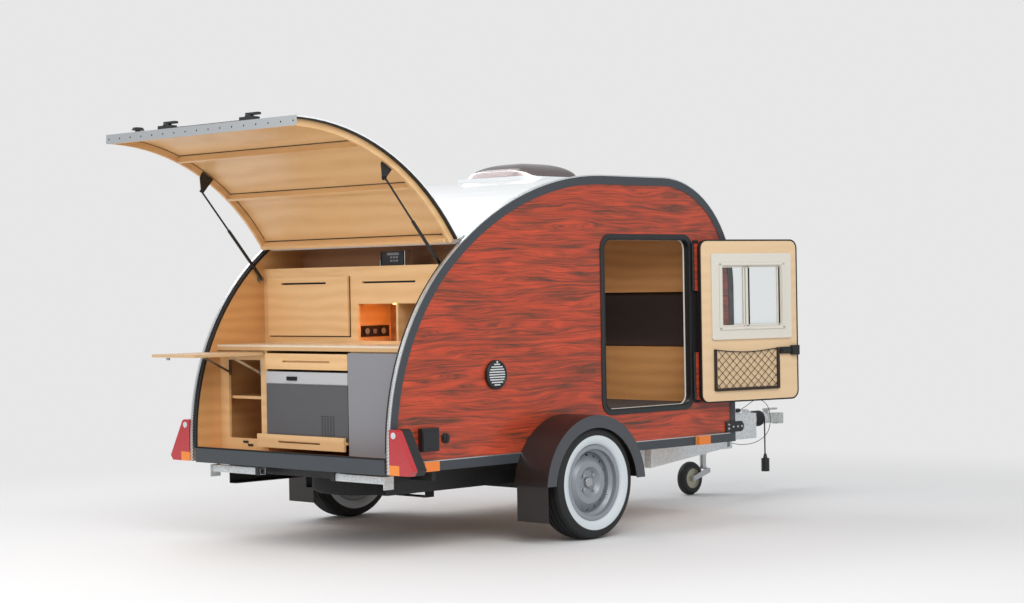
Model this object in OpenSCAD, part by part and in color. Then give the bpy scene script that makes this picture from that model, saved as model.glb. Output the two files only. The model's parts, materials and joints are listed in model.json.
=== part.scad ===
// Teardrop trailer with a rear galley under a lifting hatch, a door in each side and a bed inside.
// +X points to the coupling, +Y to the left side, +Z up. The pieces are laid out from the ground
// under the axle, and from_coupling() moves them so that the origin is the centre of the ball socket.

/* [Body shell] */
// Length of the body from tail to nose
body_l = 2670; // [2500:10:2900]
// Width over the side walls
body_w = 1583; // [1400:1:1900]
// Height from the underside of the floor to the top of the roof
body_h = 1494; // [1440:1:1620]
// Height of the floor's underside over the ground
floor_clear = 411; // [380:1:460]
// Distance from the axle back to the tail
tail_overhang = 1230; // [1100:5:1300]
// Thickness of a side wall
wall_t = 40; // [30:1:50]
// Thickness of the roof panel
roof_t = 25; // [18:1:35]
// Thickness of the floor
floor_t = 30; // [20:1:40]
// Radius of the tail's lower curve
tail_r = 1260; // [1200:5:1300]
// Radius of the curve from the tail up to the roof
shoulder_r = 1735; // [1650:5:1800]
// Lean from upright where those two curves meet
tail_split = 49; // [45:1:52]
// Radius of the nose curve
nose_r = 606; // [520:2:680]
// Width of the dark trim band round the side walls
trim_w = 50; // [35:1:60]

/* [Hatch] */
// Place of the hinge on the shoulder curve, as an angle from level
hinge_deg = 127; // [124:0.5:129]
// How far the hatch stands open
hatch_open = 92.5; // [80:0.5:95]
// Thickness of the hatch skin
hatch_skin_t = 7; // [5:1:9]
// Depth of the hatch ribs
rib_d = 40; // [30:1:41]
// Distance of the strut's foot ahead of the tail
strut_foot_in = 460; // [440:1:480]
// Height of the strut's foot over the floor's underside
strut_foot_up = 968; // [940:1:990]
// Length of a strut tube
strut_tube_l = 347; // [320:1:350]
// Length of a strut rod
strut_rod_l = 325; // [311:1:335]

/* [Side doors] */
// Clear width of the doorway
door_w = 719; // [600:1:740]
// Clear height of the doorway
door_h = 924; // [800:1:960]
// Distance of the doorway's rear edge ahead of the axle
door_ahead = 331; // [300:1:350]
// Height of the doorway's lower edge over the floor's underside
door_up = 229; // [200:1:260]
// Corner radius of the doorway
door_r = 55; // [40:1:80]
// Thickness of a door
door_t = 26; // [20:1:30]
// How far the right door stands open
door_open = 168; // [90:1:170]
// Width of the window glass
glass_w = 437; // [350:1:460]
// Height of the window glass
glass_h = 341; // [250:1:380]

/* [Galley] */
// Height of the worktop's upper face over the floor's underside
worktop_up = 617; // [590:1:640]
// Distance of the lower cabinet's face ahead of the tail
lower_face_in = 180; // [170:1:200]
// Distance of the upper cabinet's face ahead of the tail
upper_face_in = 490; // [480:1:520]
// Height of the upper cabinet over the worktop
upper_cabinet_h = 405; // [360:1:410]
// Width of the drawer and fridge bay
bay_w = 662; // [560:1:700]
// Left side of the drawer bay from the middle of the body
bay_left = 352; // [330:1:360]
// Thickness of the boards
board_t = 15; // [12:1:18]

/* [Running gear] */
// Radius of a tyre
tyre_r = 293.5; // [280:0.5:305]
// Width of a tyre
tyre_w = 165; // [145:1:175]
// Gap between a side wall and its wheel
wheel_gap = 64.5; // [60:0.5:90]
// Radius of a mudguard
guard_r = 375; // [365:1:395]
// Height of a chassis rail
rail_h = 120; // [90:1:130]
// Width of a chassis rail
rail_w = 50; // [40:1:60]

/* [Drawbar] */
// Distance of the ball socket ahead of the axle
coupling_x = 2860; // [2700:10:3100]
// Height of the ball socket's centre over the ground
coupling_z = 430; // [400:1:460]
// Radius of the ball socket
socket_r = 25.2; // [25.1:0.1:25.5]
// Radius of the jockey wheel
jockey_r = 103; // [90:1:115]

/* [Hidden] */
$fn = 48;

// Room that a moving piece keeps from what it passes
move_gap = 5;
// Room between pieces that sit together but aren't one
seat_gap = 0.3;
// Room round a shaft in its bore
shaft_gap = 0.05;
// Overlap that makes a cut run right through
cut = 1;

// Outline of the body, seen from its side
tail_x = -tail_overhang;
nose_x = tail_x + body_l;
sill_z = floor_clear;
roof_z = sill_z + body_h;
half_w = body_w / 2;
inner_y = half_w - wall_t;
floor_top = sill_z + floor_t;
tail_c = [tail_x + tail_r, roof_z - shoulder_r * (1 - sin(tail_split)) - tail_r * sin(tail_split)];
shoulder_c = [tail_x + tail_r * (1 - cos(tail_split)) + shoulder_r * cos(tail_split), roof_z - shoulder_r];
nose_c = [nose_x - nose_r, roof_z - nose_r];

// Edge of the walls: bead on the outside, seal on the inside
bead_t = 4;
bead_w = 20;
edge_rebate = 20;
seal_h = 8;
seal_w = 16;
trim_t = 3;
sill_beam_h = 74;
sill_beam_t = 40;
sill_beam_z = sill_z - 5;

// Hatch
hinge_lift = 6;
hinge_axis = shoulder_c + (shoulder_r + hinge_lift) * [cos(hinge_deg), sin(hinge_deg)];
hatch_foot_z = sill_beam_z + sill_beam_h + 2 * move_gap + 2;
hatch_half_w = half_w - bead_w - move_gap;
rib_t = 18;
rib_out = inner_y - 8;
lining_t = 4;
strut_y = rib_out - 11.5;
strut_tube_r = 8.5;
strut_rod_r = 5;
strut_foot = [tail_x + strut_foot_in, sill_z + strut_foot_up];
// Rod's eye on the closed hatch, set in from the skin along the tail curve
eye_deg = 151.3;
eye_in = 110.5;
strut_eye_shut = tail_c + (tail_r - eye_in) * [cos(eye_deg), sin(eye_deg)];
strut_eye = turned(strut_eye_shut - hinge_axis, -hatch_open) + hinge_axis;
strut_dir = strut_eye - strut_foot;
strut_deg = atan2(strut_dir[1], strut_dir[0]);
strut_l = norm(strut_dir);

// Side doors
door_x0 = door_ahead;
door_x1 = door_x0 + door_w;
door_z0 = sill_z + door_up;
door_z1 = door_z0 + door_h;
frame_lip = 25;
frame_t = 12;
frame_proud = 5;
door_gap = 6;
door_axis = [door_x1 + 18, half_w + 12];
door_out = half_w + 6;
door_in = door_out - door_t;
window_x = (door_x0 + door_x1) / 2 - 10;
window_z = door_z1 - door_gap - 318;
window_flange = 72;
window_tube_t = 10;

// Galley
lower_face_x = tail_x + lower_face_in;
upper_face_x = tail_x + upper_face_in;
bulkhead_x = upper_face_x + 280;
worktop_z = sill_z + worktop_up;
worktop_t = 28;
worktop_under = worktop_z - worktop_t;
upper_top_z = worktop_z + upper_cabinet_h;
bay_right = bay_left - bay_w;
stile_w = 55;
left_open = [bay_left + stile_w, inner_y - 71];
left_open_z = [sill_z + 119, worktop_under - 52];
drawer_z = [worktop_under - 97, worktop_under - 15];
fridge_z = [sill_z + 130, worktop_under - 110];
cubby_top = worktop_z + 209;
divider_y = 30;
tray_out = 20;

// Flap table, the left cabinet's door held level
flap_axis = [lower_face_x - 2, worktop_under - 28];
flap_l = 454;
flap_y = [left_open[0] - 37, left_open[1] + 55];
brace_pivot = [lower_face_x + 10, worktop_under - 124];
brace_l = 219;
brace_w = 12;
brace_reach = brace_l - brace_w / 2;
brace_deg = 180 - asin((flap_axis[1] + 3 - seat_gap - brace_w / 2 - brace_pivot[1]) / brace_reach);
brace_t = 3;

// Running gear
track_y = half_w + wheel_gap + tyre_w / 2;
rail_y = 600;
rail_z = sill_z - rail_h;
rail_wall = 4;
axle_x = 150;
axle_h = 70;
stub_r = 15;
arm_y = [half_w - 55, half_w - 15];
rim_r = 195;
bead_seat_r = 178;
// Inner face of the rim's flanges from the tyre's sides
flange_in = 22;
vent_holes = 16;
vent_ring_r = 140;
vent_r = 8.5;
spare_x = -669;
spare_w = 158;

// Skylight hole and frame, in plan
skylight_w = 520;
skylight_rim = 40;
skylight_x = 540;
skylight_z = roof_z - bead_t;
// Layers of the dome: half width and height
dome_layers = [[252, 0], [244, 30], [215, 58], [165, 76], [100, 84]];

// Corner steady folded up under the tail, with its foot outwards
steady_x = tail_x + 85;
steady_in = 300;
steady_out = 715;
steady_z = sill_z - 38;

// Drawbar
vee_rear = [850, 628];
vee_tip = [2250, 45];
vee_run = vee_tip - vee_rear;
vee_l = norm(vee_run);
nose_half_w = 75;
rail_front = vee_rear[0] + vee_run[1] / vee_l * rail_w / 2 - seat_gap;
tube_z = coupling_z + 20;
housing_x = [2300, coupling_x - 290];
head_x = coupling_x - 145;
bellow_r = 40;
jockey_x = 2240;
jockey_y = 115;
mast_r = 24;
mast_z = [240, 640];
stem_r = 20;
stem_z = 165;
fork_trail = 130;

// Power cable: lead out of its gland, coil round the bellow, and hanging end
cable_d = 9;
coil_r = 46;
coil_x = [2592, 2672];
gland_face_x = 2577.7;
lead_points = [[2578, 0, 496], [2585, 0, 496], [2592, 0, 496]];
drop_points = [
    [2668, -46, 450], [2668, -46, 436], [2668, -46, 420], [2668, -46, 400],
    [2668, -46, 375], [2668, -46, 350], [2668, -46, 325], [2668, -46, 300],
    [2668, -46, 275], [2668, -46, 250], [2668, -46, 226]
];
plug_top = [2668, -46, 226];

// Breakaway cable, from the handbrake over the coil and back under the nose
breakaway_d = 4;
breakaway_points = [
    [2440, -12, 512], [2442, -24, 516], [2448, -40, 524], [2460, -56, 536], [2478, -67, 550],
    [2504, -74, 566], [2530, -77, 575], [2560, -78, 577], [2592, -78, 572], [2622, -78, 560],
    [2648, -78, 542], [2668, -78, 518], [2680, -78, 490], [2686, -78, 460], [2684, -78, 428],
    [2676, -78, 398], [2660, -78, 370], [2636, -76, 346], [2604, -74, 328], [2566, -72, 314],
    [2520, -70, 304], [2470, -68, 300], [2420, -66, 300], [2374, -64, 304], [2340, -62, 310],
    [2318, -60, 316], [2300, -60, 320]
];

// ---------------------------------------------------------------- helpers

// Moves a piece from the ground under the axle to the frame at the ball socket
module from_coupling() {
    translate([-coupling_x, 0, -coupling_z]) children();
}

// The piece and its twin on the other side
module both_sides() {
    children();
    mirror([0, 1, 0]) children();
}

// A side-view outline (x, z) made thick from y0 to y1
module side_slab(y0, y1) {
    translate([0, y1, 0]) rotate([90, 0, 0]) linear_extrude(y1 - y0) children();
}

// A block between two corners
module block(low, high) {
    translate(low) cube(high - low);
}

// A round bar along Y
module bar_y(x, z, r, y0, y1) {
    translate([x, y1, z]) rotate([90, 0, 0]) cylinder(r = r, h = y1 - y0);
}

// A rectangle with round corners, from its two corners
module round_rect(x0, z0, x1, z1, r) {
    translate([x0 + r, z0]) square([x1 - x0 - 2 * r, z1 - z0]);
    translate([x0, z0 + r]) square([x1 - x0, z1 - z0 - 2 * r]);
    for (x = [x0 + r, x1 - r], z = [z0 + r, z1 - r]) translate([x, z]) circle(r = r);
}

// A vector turned in the side view, from x towards z
function turned(v, deg) = [v[0] * cos(deg) - v[1] * sin(deg), v[0] * sin(deg) + v[1] * cos(deg)];

function arc_points(c, r, from, to, steps) =
    [for (i = [0 : steps]) let (a = from + (to - from) * i / steps) c + r * [cos(a), sin(a)]];

// Side outline of the body, set in by a depth, down to a foot
function side_points(depth, foot) = concat(
    [[tail_x + depth, foot]],
    arc_points(tail_c, tail_r - depth, 180, 180 - tail_split, 16),
    arc_points(shoulder_c, shoulder_r - depth, 180 - tail_split - 41 / 14, 90, 13),
    arc_points(nose_c, nose_r - depth, 90, 0, 18),
    [[nose_x - depth, foot]]
);

module side_shape(depth, foot = sill_z) {
    polygon(side_points(depth, foot));
}

// Half of the side view behind the hatch hinge, or ahead of it, past a gap
module behind_hinge(gap = 0) {
    translate(shoulder_c) rotate(hinge_deg) translate([-2 * body_l, gap]) square([4 * body_l, 4 * body_l]);
}

module ahead_of_hinge(gap = 0) {
    translate(shoulder_c) rotate(hinge_deg)
        translate([-2 * body_l, -gap - 4 * body_l]) square([4 * body_l, 4 * body_l]);
}

// A band of the side view between two depths
module side_band(outer, inner, foot = sill_z) {
    difference() {
        side_shape(outer, foot);
        side_shape(inner, foot - cut);
    }
}

// A board across the hatch, square to the skin at an angle of the given curve
module cross_board(c, r, deg, depth, thick) {
    translate([c[0], 0, c[1]]) rotate([0, -deg, 0])
        translate([r - hatch_skin_t - cut - depth, -rib_out + rib_t, -thick / 2])
            cube([depth, 2 * (rib_out - rib_t), thick]);
}

// Puts a piece of the closed hatch where the open hatch has it
module hatch_stands_open() {
    translate([hinge_axis[0], 0, hinge_axis[1]]) rotate([0, hatch_open, 0])
        translate([-hinge_axis[0], 0, -hinge_axis[1]]) children();
}

// Puts a piece of the closed right door where the open door has it
module door_stands_open() {
    translate([door_axis[0], -door_axis[1], 0]) rotate(door_open)
        translate([-door_axis[0], door_axis[1], 0]) children();
}

// A tube along a list of points, with one ring of sides at each point
module swept_tube(points, d, sides = 8) {
    last = len(points) - 1;
    function way(i) = let (v = points[min(i + 1, last)] - points[max(i - 1, 0)]) v / norm(v);
    function across(i) = let (v = cross(way(i), [0, 1, 0.02])) v / norm(v);
    rings = [for (i = [0 : last]) let (a = across(i), b = cross(way(i), a)) for (k = [0 : sides - 1])
        points[i] + d / 2 * (a * cos(360 * k / sides) + b * sin(360 * k / sides))];
    walls = [for (i = [0 : last - 1]) for (k = [0 : sides - 1])
        let (n = (k + 1) % sides) [i * sides + k, i * sides + n, (i + 1) * sides + n, (i + 1) * sides + k]];
    ends = [[for (k = [sides - 1 : -1 : 0]) k], [for (k = [0 : sides - 1]) last * sides + k]];
    polyhedron(rings, concat(walls, ends));
}

// ---------------------------------------------------------------- body shell

module floor_pan() color("tan") from_coupling() {
    block([tail_x + sill_beam_t + bead_t + seat_gap, -inner_y, sill_z],
        [nose_x - bead_t - roof_t, inner_y, floor_top]);
}

module wall_outline() {
    difference() {
        union() {
            intersection() {
                side_shape(edge_rebate);
                behind_hinge();
            }
            intersection() {
                side_shape(bead_t + roof_t);
                ahead_of_hinge();
            }
        }
        round_rect(door_x0 - frame_t, door_z0 - frame_t, door_x1 + frame_t, door_z1 + frame_t,
            door_r + frame_t);
    }
}

module side_wall_right() color("firebrick") from_coupling() {
    side_slab(-half_w, -inner_y) wall_outline();
}

module side_wall_left() color("firebrick") from_coupling() {
    side_slab(inner_y, half_w) wall_outline();
}

module roof_panel() color("whitesmoke") from_coupling() {
    difference() {
        side_slab(-half_w, half_w) intersection() {
            side_band(bead_t, bead_t + roof_t);
            ahead_of_hinge(2);
        }
        hole = skylight_w / 2 - skylight_rim;
        block([skylight_x - hole, -hole, skylight_z - 3 * roof_t], [skylight_x + hole, hole, roof_z]);
    }
}

// Dark band round both side walls
module edge_trims() color("darkslategray") from_coupling() both_sides() {
    side_slab(half_w, half_w + trim_t) difference() {
        side_shape(bead_t + 2);
        side_shape(trim_w, sill_z + trim_w);
    }
}

// Bright bead on the edge of both walls, and the hinge rail across the roof
module edge_beads() color("silver") from_coupling() {
    both_sides() side_slab(half_w - bead_w, half_w) {
        intersection() {
            side_band(0, edge_rebate);
            behind_hinge();
        }
        intersection() {
            side_band(0, bead_t);
            ahead_of_hinge();
        }
    }
    rail_half = half_w - bead_w - seat_gap;
    bar_y(hinge_axis[0], hinge_axis[1], hinge_lift - 1, -rail_half, rail_half);
    translate([shoulder_c[0], 0, shoulder_c[1]]) rotate([0, -hinge_deg, 0])
        block([shoulder_r - bead_t + seat_gap, -rail_half, -30], [shoulder_r + hinge_lift, rail_half, -2]);
}

module rear_sill() color("dimgray") from_coupling() {
    block([tail_x + bead_t, -inner_y + seat_gap, sill_beam_z],
        [tail_x + bead_t + sill_beam_t, inner_y - seat_gap, sill_beam_z + sill_beam_h]);
}

// Rubber seal that the hatch closes on, on the walls' edges and on the rear sill
module hatch_seal() color("black") from_coupling() {
    both_sides() side_slab(inner_y + 1, inner_y + 1 + seal_w) intersection() {
        side_band(edge_rebate - seal_h, edge_rebate, sill_beam_z + sill_beam_h);
        behind_hinge(move_gap);
    }
    block([tail_x + bead_t + 12, -inner_y + 1, sill_beam_z + sill_beam_h],
        [tail_x + bead_t + 12 + seal_w, inner_y - 1, sill_beam_z + sill_beam_h + seal_h - 1]);
}

// ---------------------------------------------------------------- galley

module bulkhead() color("burlywood") from_coupling() {
    intersection() {
        block([bulkhead_x, -inner_y, floor_top], [bulkhead_x + board_t, inner_y, roof_z]);
        side_slab(-inner_y, inner_y) side_shape(bead_t + roof_t);
    }
}

// Face frame, partitions, base and shelf under the worktop
module lower_cabinet() color("burlywood") from_coupling() {
    face = [lower_face_x, lower_face_x + board_t];
    // [y low, y high, z low, z high] of each board of the face
    face_boards = [
        [left_open[1], inner_y, floor_top, worktop_under],
        [bay_left, left_open[0], floor_top, worktop_under],
        [left_open[0], left_open[1], left_open_z[1], worktop_under],
        [left_open[0], left_open[1], floor_top, left_open_z[0]],
        [bay_right - 30, bay_right, floor_top, worktop_under],
        [-inner_y, bay_right - 30, floor_top, floor_top + 42],
        [-inner_y, bay_right - 30, worktop_under - 8, worktop_under]
    ];
    for (b = face_boards) block([face[0], b[0], b[2]], [face[1], b[1], b[3]]);
    for (y = [bay_left, bay_right - board_t])
        block([face[1] - cut, y, floor_top], [bulkhead_x, y + board_t, worktop_under]);
    // Shelf of the left cupboard
    shelf_z = (left_open_z[0] + left_open_z[1]) / 2;
    block([face[1] + 10, bay_left + board_t - cut, shelf_z], [bulkhead_x, inner_y, shelf_z + board_t]);
    // Runners of the drawer and of the fridge tray
    for (y = [bay_left - 9.5, bay_right], z = [drawer_z[0] + 12, fridge_z[0] - board_t - 22])
        block([face[1] + 5, y, z], [bulkhead_x - 40, y + 9.5, z + 18]);
}

module worktop() color("wheat") from_coupling() {
    block([lower_face_x - 20, -inner_y, worktop_under], [bulkhead_x, inner_y, worktop_z]);
}

// Slot that serves as a handle, seen square on: middle and width
module finger_slot(y, z, w) {
    translate([y - w / 2 + 5, z]) circle(r = 5, $fn = 24);
    translate([y + w / 2 - 5, z]) circle(r = 5, $fn = 24);
    translate([y - w / 2 + 5, z - 5]) square([w - 10, 10]);
}

// A board seen square on (y, z) made thick from x0 forwards
module face_board(x0, thick) {
    translate([x0, 0, 0]) rotate([90, 0, 90]) linear_extrude(thick) children();
}

module upper_cabinet() color("burlywood") from_coupling() {
    deep = [upper_face_x + board_t, bulkhead_x];
    face_board(upper_face_x, board_t) difference() {
        translate([-inner_y, worktop_z]) square([2 * inner_y, upper_cabinet_h]);
        // Openings: behind the door, and the two open cubbies
        translate([divider_y + board_t + 20, worktop_z + 60])
            square([inner_y - 75 - divider_y - board_t - 20, upper_cabinet_h - 130]);
        translate([-320, worktop_z + 15]) square([295, cubby_top - worktop_z - 15]);
        translate([-inner_y + 30, worktop_z + 15]) square([inner_y - 30 - 335, cubby_top - worktop_z - 15]);
        finger_slot(-265, upper_top_z - 84, 410);
    }
    block([deep[0], -inner_y, upper_top_z - board_t], [deep[1], inner_y, upper_top_z]);
    block([deep[0], -inner_y, cubby_top], [deep[1], divider_y, cubby_top + board_t]);
    for (y = [divider_y, -320 - board_t]) {
        top = y == divider_y ? upper_top_z - board_t : cubby_top;
        block([deep[0], y, worktop_z], [deep[1], y + board_t, top + cut]);
    }
}

module upper_door() color("burlywood") from_coupling() {
    door_y = [divider_y + 10, inner_y - 48];
    door_z = [worktop_z + 41, upper_top_z - 50];
    face_board(upper_face_x - board_t - seat_gap, board_t) difference() {
        translate([door_y[0], door_z[0]]) square([door_y[1] - door_y[0], door_z[1] - door_z[0]]);
        finger_slot((door_y[0] + door_y[1]) / 2 + 28, door_z[1] - 34, 373);
    }
    // Hinge knuckles along its upper edge
    for (y = [door_y[0] + 60, door_y[1] - 120])
        bar_y(upper_face_x - 3, door_z[1] + 1, 2, y, y + 60);
}

// Grey panel in front of the face, beside the drawer
module service_panel() color("gray") from_coupling() {
    block([lower_face_x - board_t - seat_gap, -inner_y + 6, floor_top + 32],
        [lower_face_x - seat_gap, bay_right + 1, worktop_under - 8]);
}

// Control unit on the upper cabinet, and the socket panel on the divider in the cubby
module galley_electrics() color("black") from_coupling() {
    block([upper_face_x + 80, -298, upper_top_z], [upper_face_x + 125, -122, upper_top_z + 76]);
    block([upper_face_x + 65, divider_y - 8, worktop_z + 34], [bulkhead_x - 20, divider_y, worktop_z + 92]);
}

// Strut feet on the walls, and the legs that carry the flap's braces
module galley_brackets() color("silver") from_coupling() {
    both_sides() {
        bar_y(strut_foot[0], strut_foot[1], 20, inner_y - 4, inner_y);
        bar_y(strut_foot[0], strut_foot[1], 4, strut_y - 6, inner_y - 3);
    }
    // [y of the plate's low side, y of the pin's low side] of each leg
    legs = [[left_open[1] - 3, left_open[1] - 11], [left_open[0], left_open[0] + 2.5]];
    for (leg = legs) {
        block([lower_face_x, leg[0], brace_pivot[1] - 10],
            [lower_face_x + 20, leg[0] + 3, left_open_z[1] - seat_gap]);
        bar_y(brace_pivot[0], brace_pivot[1], 3, leg[1], leg[1] + 8.5);
    }
}

module cutlery_drawer() color("burlywood") from_coupling() {
    front_x = lower_face_x - board_t - seat_gap;
    face_board(front_x, board_t) difference() {
        translate([bay_right + 5, drawer_z[0]]) square([bay_w - 5, drawer_z[1] - drawer_z[0]]);
        finger_slot((bay_left + bay_right) / 2, (drawer_z[0] + drawer_z[1]) / 2, 380);
    }
    low = [front_x + board_t, bay_right + 10, drawer_z[0] + 4];
    high = [bulkhead_x - 120, bay_left - 10, drawer_z[1] - 18];
    difference() {
        block(low, high);
        block(low + [10, 10, 8], high + [-10, -10, cut]);
    }
}

// Sliding tray with its front, standing a little out
module fridge_tray() color("burlywood") from_coupling() {
    front_x = lower_face_x - tray_out - board_t - 5;
    face_board(front_x, board_t) difference() {
        translate([bay_right + 14, sill_z + 82]) square([bay_w + 32, 70]);
        finger_slot((bay_left + bay_right) / 2 + 36, sill_z + 116, 337);
    }
    block([front_x + board_t, bay_right + 10, fridge_z[0] - board_t],
        [bulkhead_x - 120, bay_left - 10, fridge_z[0]]);
}

module fridge() color("dimgray") from_coupling() {
    low = [lower_face_x - 16, bay_right + 5 + seat_gap, fridge_z[0]];
    high = [bulkhead_x - 130, bay_left - 10, fridge_z[1]];
    difference() {
        block(low, high);
        // Hinge line that parts the lid from the box
        block([low[0] - cut, low[1] - cut, fridge_z[1] - 64],
            [low[0] + 4, high[1] + cut, fridge_z[1] - 60]);
    }
}

module flap_table() color("wheat") from_coupling() {
    block([flap_axis[0] - 5 - flap_l, flap_y[0], flap_axis[1] + 3],
        [flap_axis[0] - 5, flap_y[1], flap_axis[1] + 18]);
    // Hinge knuckles with their tongues
    for (y = [flap_y[0] + 60, flap_y[1] - 100]) {
        bar_y(flap_axis[0], flap_axis[1], 1.7, y, y + 40);
        block([flap_axis[0] - 8, y, flap_axis[1] - 1], [flap_axis[0], y + 40, flap_axis[1] + 1]);
        block([flap_axis[0] - 8, y, flap_axis[1] - 1], [flap_axis[0] - 6, y + 40, flap_axis[1] + 4]);
    }
}

module flap_braces() color("goldenrod") from_coupling() {
    for (y = [left_open[1] - 8 - brace_t, left_open[0] + 8]) {
        translate([brace_pivot[0], y + brace_t, brace_pivot[1]]) rotate([90, 0, 0]) linear_extrude(brace_t)
            rotate(brace_deg) difference() {
                union() {
                    translate([0, -brace_w / 2]) square([brace_reach, brace_w]);
                    circle(r = brace_w / 2);
                    translate([brace_reach, 0]) circle(r = brace_w / 2);
                }
                circle(r = 3 + shaft_gap);
            }
    }
}

// ---------------------------------------------------------------- hatch

module hatch_zone(gap = 3) {
    intersection() {
        children();
        behind_hinge(gap);
        translate([tail_x - cut, hatch_foot_z]) square([body_l, body_h]);
    }
}

module hatch_skin() color("whitesmoke") from_coupling() hatch_stands_open() {
    side_slab(-hatch_half_w, hatch_half_w) hatch_zone() side_band(0, hatch_skin_t, sill_z);
}

// Curved ribs, boards across and the lining between them
module hatch_ribs() color("burlywood") from_coupling() hatch_stands_open() {
    both_sides() side_slab(rib_out - rib_t, rib_out) hatch_zone(8)
        side_band(hatch_skin_t, hatch_skin_t + rib_d, sill_z);
    side_slab(-rib_out + rib_t, rib_out - rib_t) hatch_zone(8)
        side_band(hatch_skin_t, hatch_skin_t + lining_t, sill_z);
    hinge_board_deg = hinge_deg + 1;
    cross_board(shoulder_c, shoulder_r, hinge_board_deg, rib_d + 15, rib_t);
    for (deg = [143, 161]) cross_board(tail_c, tail_r, deg, rib_d, rib_t);
    block([tail_x + hatch_skin_t, -rib_out + rib_t, hatch_foot_z],
        [tail_x + hatch_skin_t + rib_d, rib_out - rib_t, hatch_foot_z + rib_t]);
}

// Strut brackets on the ribs, and the latches on the skin
module hatch_fittings() color("black") from_coupling() hatch_stands_open() {
    plate_y = rib_out - rib_t - 6;
    both_sides() {
        side_slab(plate_y, plate_y + 4 - seat_gap) {
            translate(strut_eye_shut) circle(r = 12);
            translate(tail_c) rotate(eye_deg) polygon([
                [tail_r - eye_in - 12, 0], [tail_r - eye_in, -12], [tail_r - 20, -30],
                [tail_r - 20, 50], [tail_r - 60, 50], [tail_r - eye_in, 12]
            ]);
        }
        // Pad between the plate and the rib
        side_slab(plate_y, rib_out - rib_t - seat_gap)
            translate(tail_c) rotate(eye_deg) translate([tail_r - 42, -25]) square([22, 70]);
        bar_y(strut_eye_shut[0], strut_eye_shut[1], 4, plate_y + 2, strut_y - 4 - seat_gap);
    }
    for (y = [-330, 330])
        block([tail_x - 26, y - 55, hatch_foot_z + 45], [tail_x - seat_gap, y + 55, hatch_foot_z + 85]);
}

// Gas struts: the tubes turn on their feet, and the rods slide in them
module along_strut() {
    translate([strut_foot[0], 0, strut_foot[1]]) rotate([0, 90 - strut_deg, 0]) children();
}

module strut_tubes() color("black") from_coupling() both_sides() translate([0, strut_y, 0]) along_strut() {
    difference() {
        union() {
            translate([0, 0, 12]) cylinder(r = strut_tube_r, h = strut_tube_l - 12);
            translate([0, 4, 0]) rotate([90, 0, 0]) cylinder(r = 9, h = 8);
            translate([-4, -4, 0]) cube([8, 8, 14]);
        }
        translate([0, 0, 16]) cylinder(r = strut_rod_r + shaft_gap, h = strut_tube_l);
        translate([0, 5, 0]) rotate([90, 0, 0]) cylinder(r = 4 + shaft_gap, h = 10);
    }
}

module strut_rods() color("dimgray") from_coupling() both_sides() translate([0, strut_y, 0]) along_strut() {
    translate([0, 0, strut_l - strut_rod_l]) cylinder(r = strut_rod_r, h = strut_rod_l - 6);
    translate([0, 4, strut_l]) rotate([90, 0, 0]) cylinder(r = 8, h = 8);
}

// ---------------------------------------------------------------- skylight

module skylight_frame() color("whitesmoke") from_coupling() {
    h = skylight_w / 2;
    difference() {
        block([skylight_x - h, -h, skylight_z], [skylight_x + h, h, skylight_z + 24]);
        hole = h - skylight_rim;
        block([skylight_x - hole, -hole, skylight_z - cut],
            [skylight_x + hole, hole, skylight_z + 24 + cut]);
    }
}

module dome_body(inset) {
    hull() for (layer = dome_layers)
        translate([skylight_x, 0, skylight_z + 24 + seat_gap + layer[1] - (layer[1] > 0 ? inset : 0)])
            linear_extrude(0.5) square(2 * (layer[0] - inset), center = true);
}

module skylight_dome() color("dimgray") from_coupling() {
    difference() {
        dome_body(0);
        translate([0, 0, -1]) dome_body(5);
    }
    // Hinge knuckles on the front edge
    edge_x = skylight_x + dome_layers[0][0];
    for (y = [-180, 120]) {
        bar_y(edge_x + 4, skylight_z + 28, 3, y, y + 60);
        block([edge_x - 4, y, skylight_z + 26], [edge_x + 3, y + 60, skylight_z + 29]);
    }
}

// ---------------------------------------------------------------- side doors and fittings

module door_frames() color("black") from_coupling() both_sides() {
    side_slab(half_w, half_w + frame_proud) difference() {
        round_rect(door_x0 - frame_lip, door_z0 - frame_lip, door_x1 + frame_lip, door_z1 + frame_lip,
            door_r + frame_lip);
        round_rect(door_x0, door_z0, door_x1, door_z1, door_r);
    }
    side_slab(inner_y - 4, half_w + cut) difference() {
        round_rect(door_x0 - frame_t, door_z0 - frame_t, door_x1 + frame_t, door_z1 + frame_t,
            door_r + frame_t);
        round_rect(door_x0, door_z0, door_x1, door_z1, door_r);
    }
    // Hinge knuckles, each on a foot
    for (z = [door_z0 + 25, door_z1 - 290]) {
        translate([door_axis[0], door_axis[1], z]) cylinder(r = 6, h = 265);
        block([door_axis[0] - 4, half_w + cut, z], [door_axis[0] + 4, door_axis[1] - 3, z + 265]);
    }
}

module door_outline(inset) {
    round_rect(door_x0 + inset, door_z0 + inset, door_x1 - inset, door_z1 - inset, door_r - inset);
}

module window_hole(grow, r) {
    round_rect(window_x - glass_w / 2 - grow, window_z - glass_h / 2 - grow,
        window_x + glass_w / 2 + grow, window_z + glass_h / 2 + grow, r);
}

// The left door, closed; the right one is its mirror image, opened
module door_leaf() {
    side_slab(door_in, door_out) difference() {
        door_outline(door_gap);
        window_hole(window_tube_t, 30);
    }
    // Hinge plates that reach the knuckles
    for (z = [door_z0 + 25, door_z1 - 290])
        block([door_x1 - 40, door_out, z], [door_axis[0] - 6 - seat_gap, door_out + 3, z + 265]);
}

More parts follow.
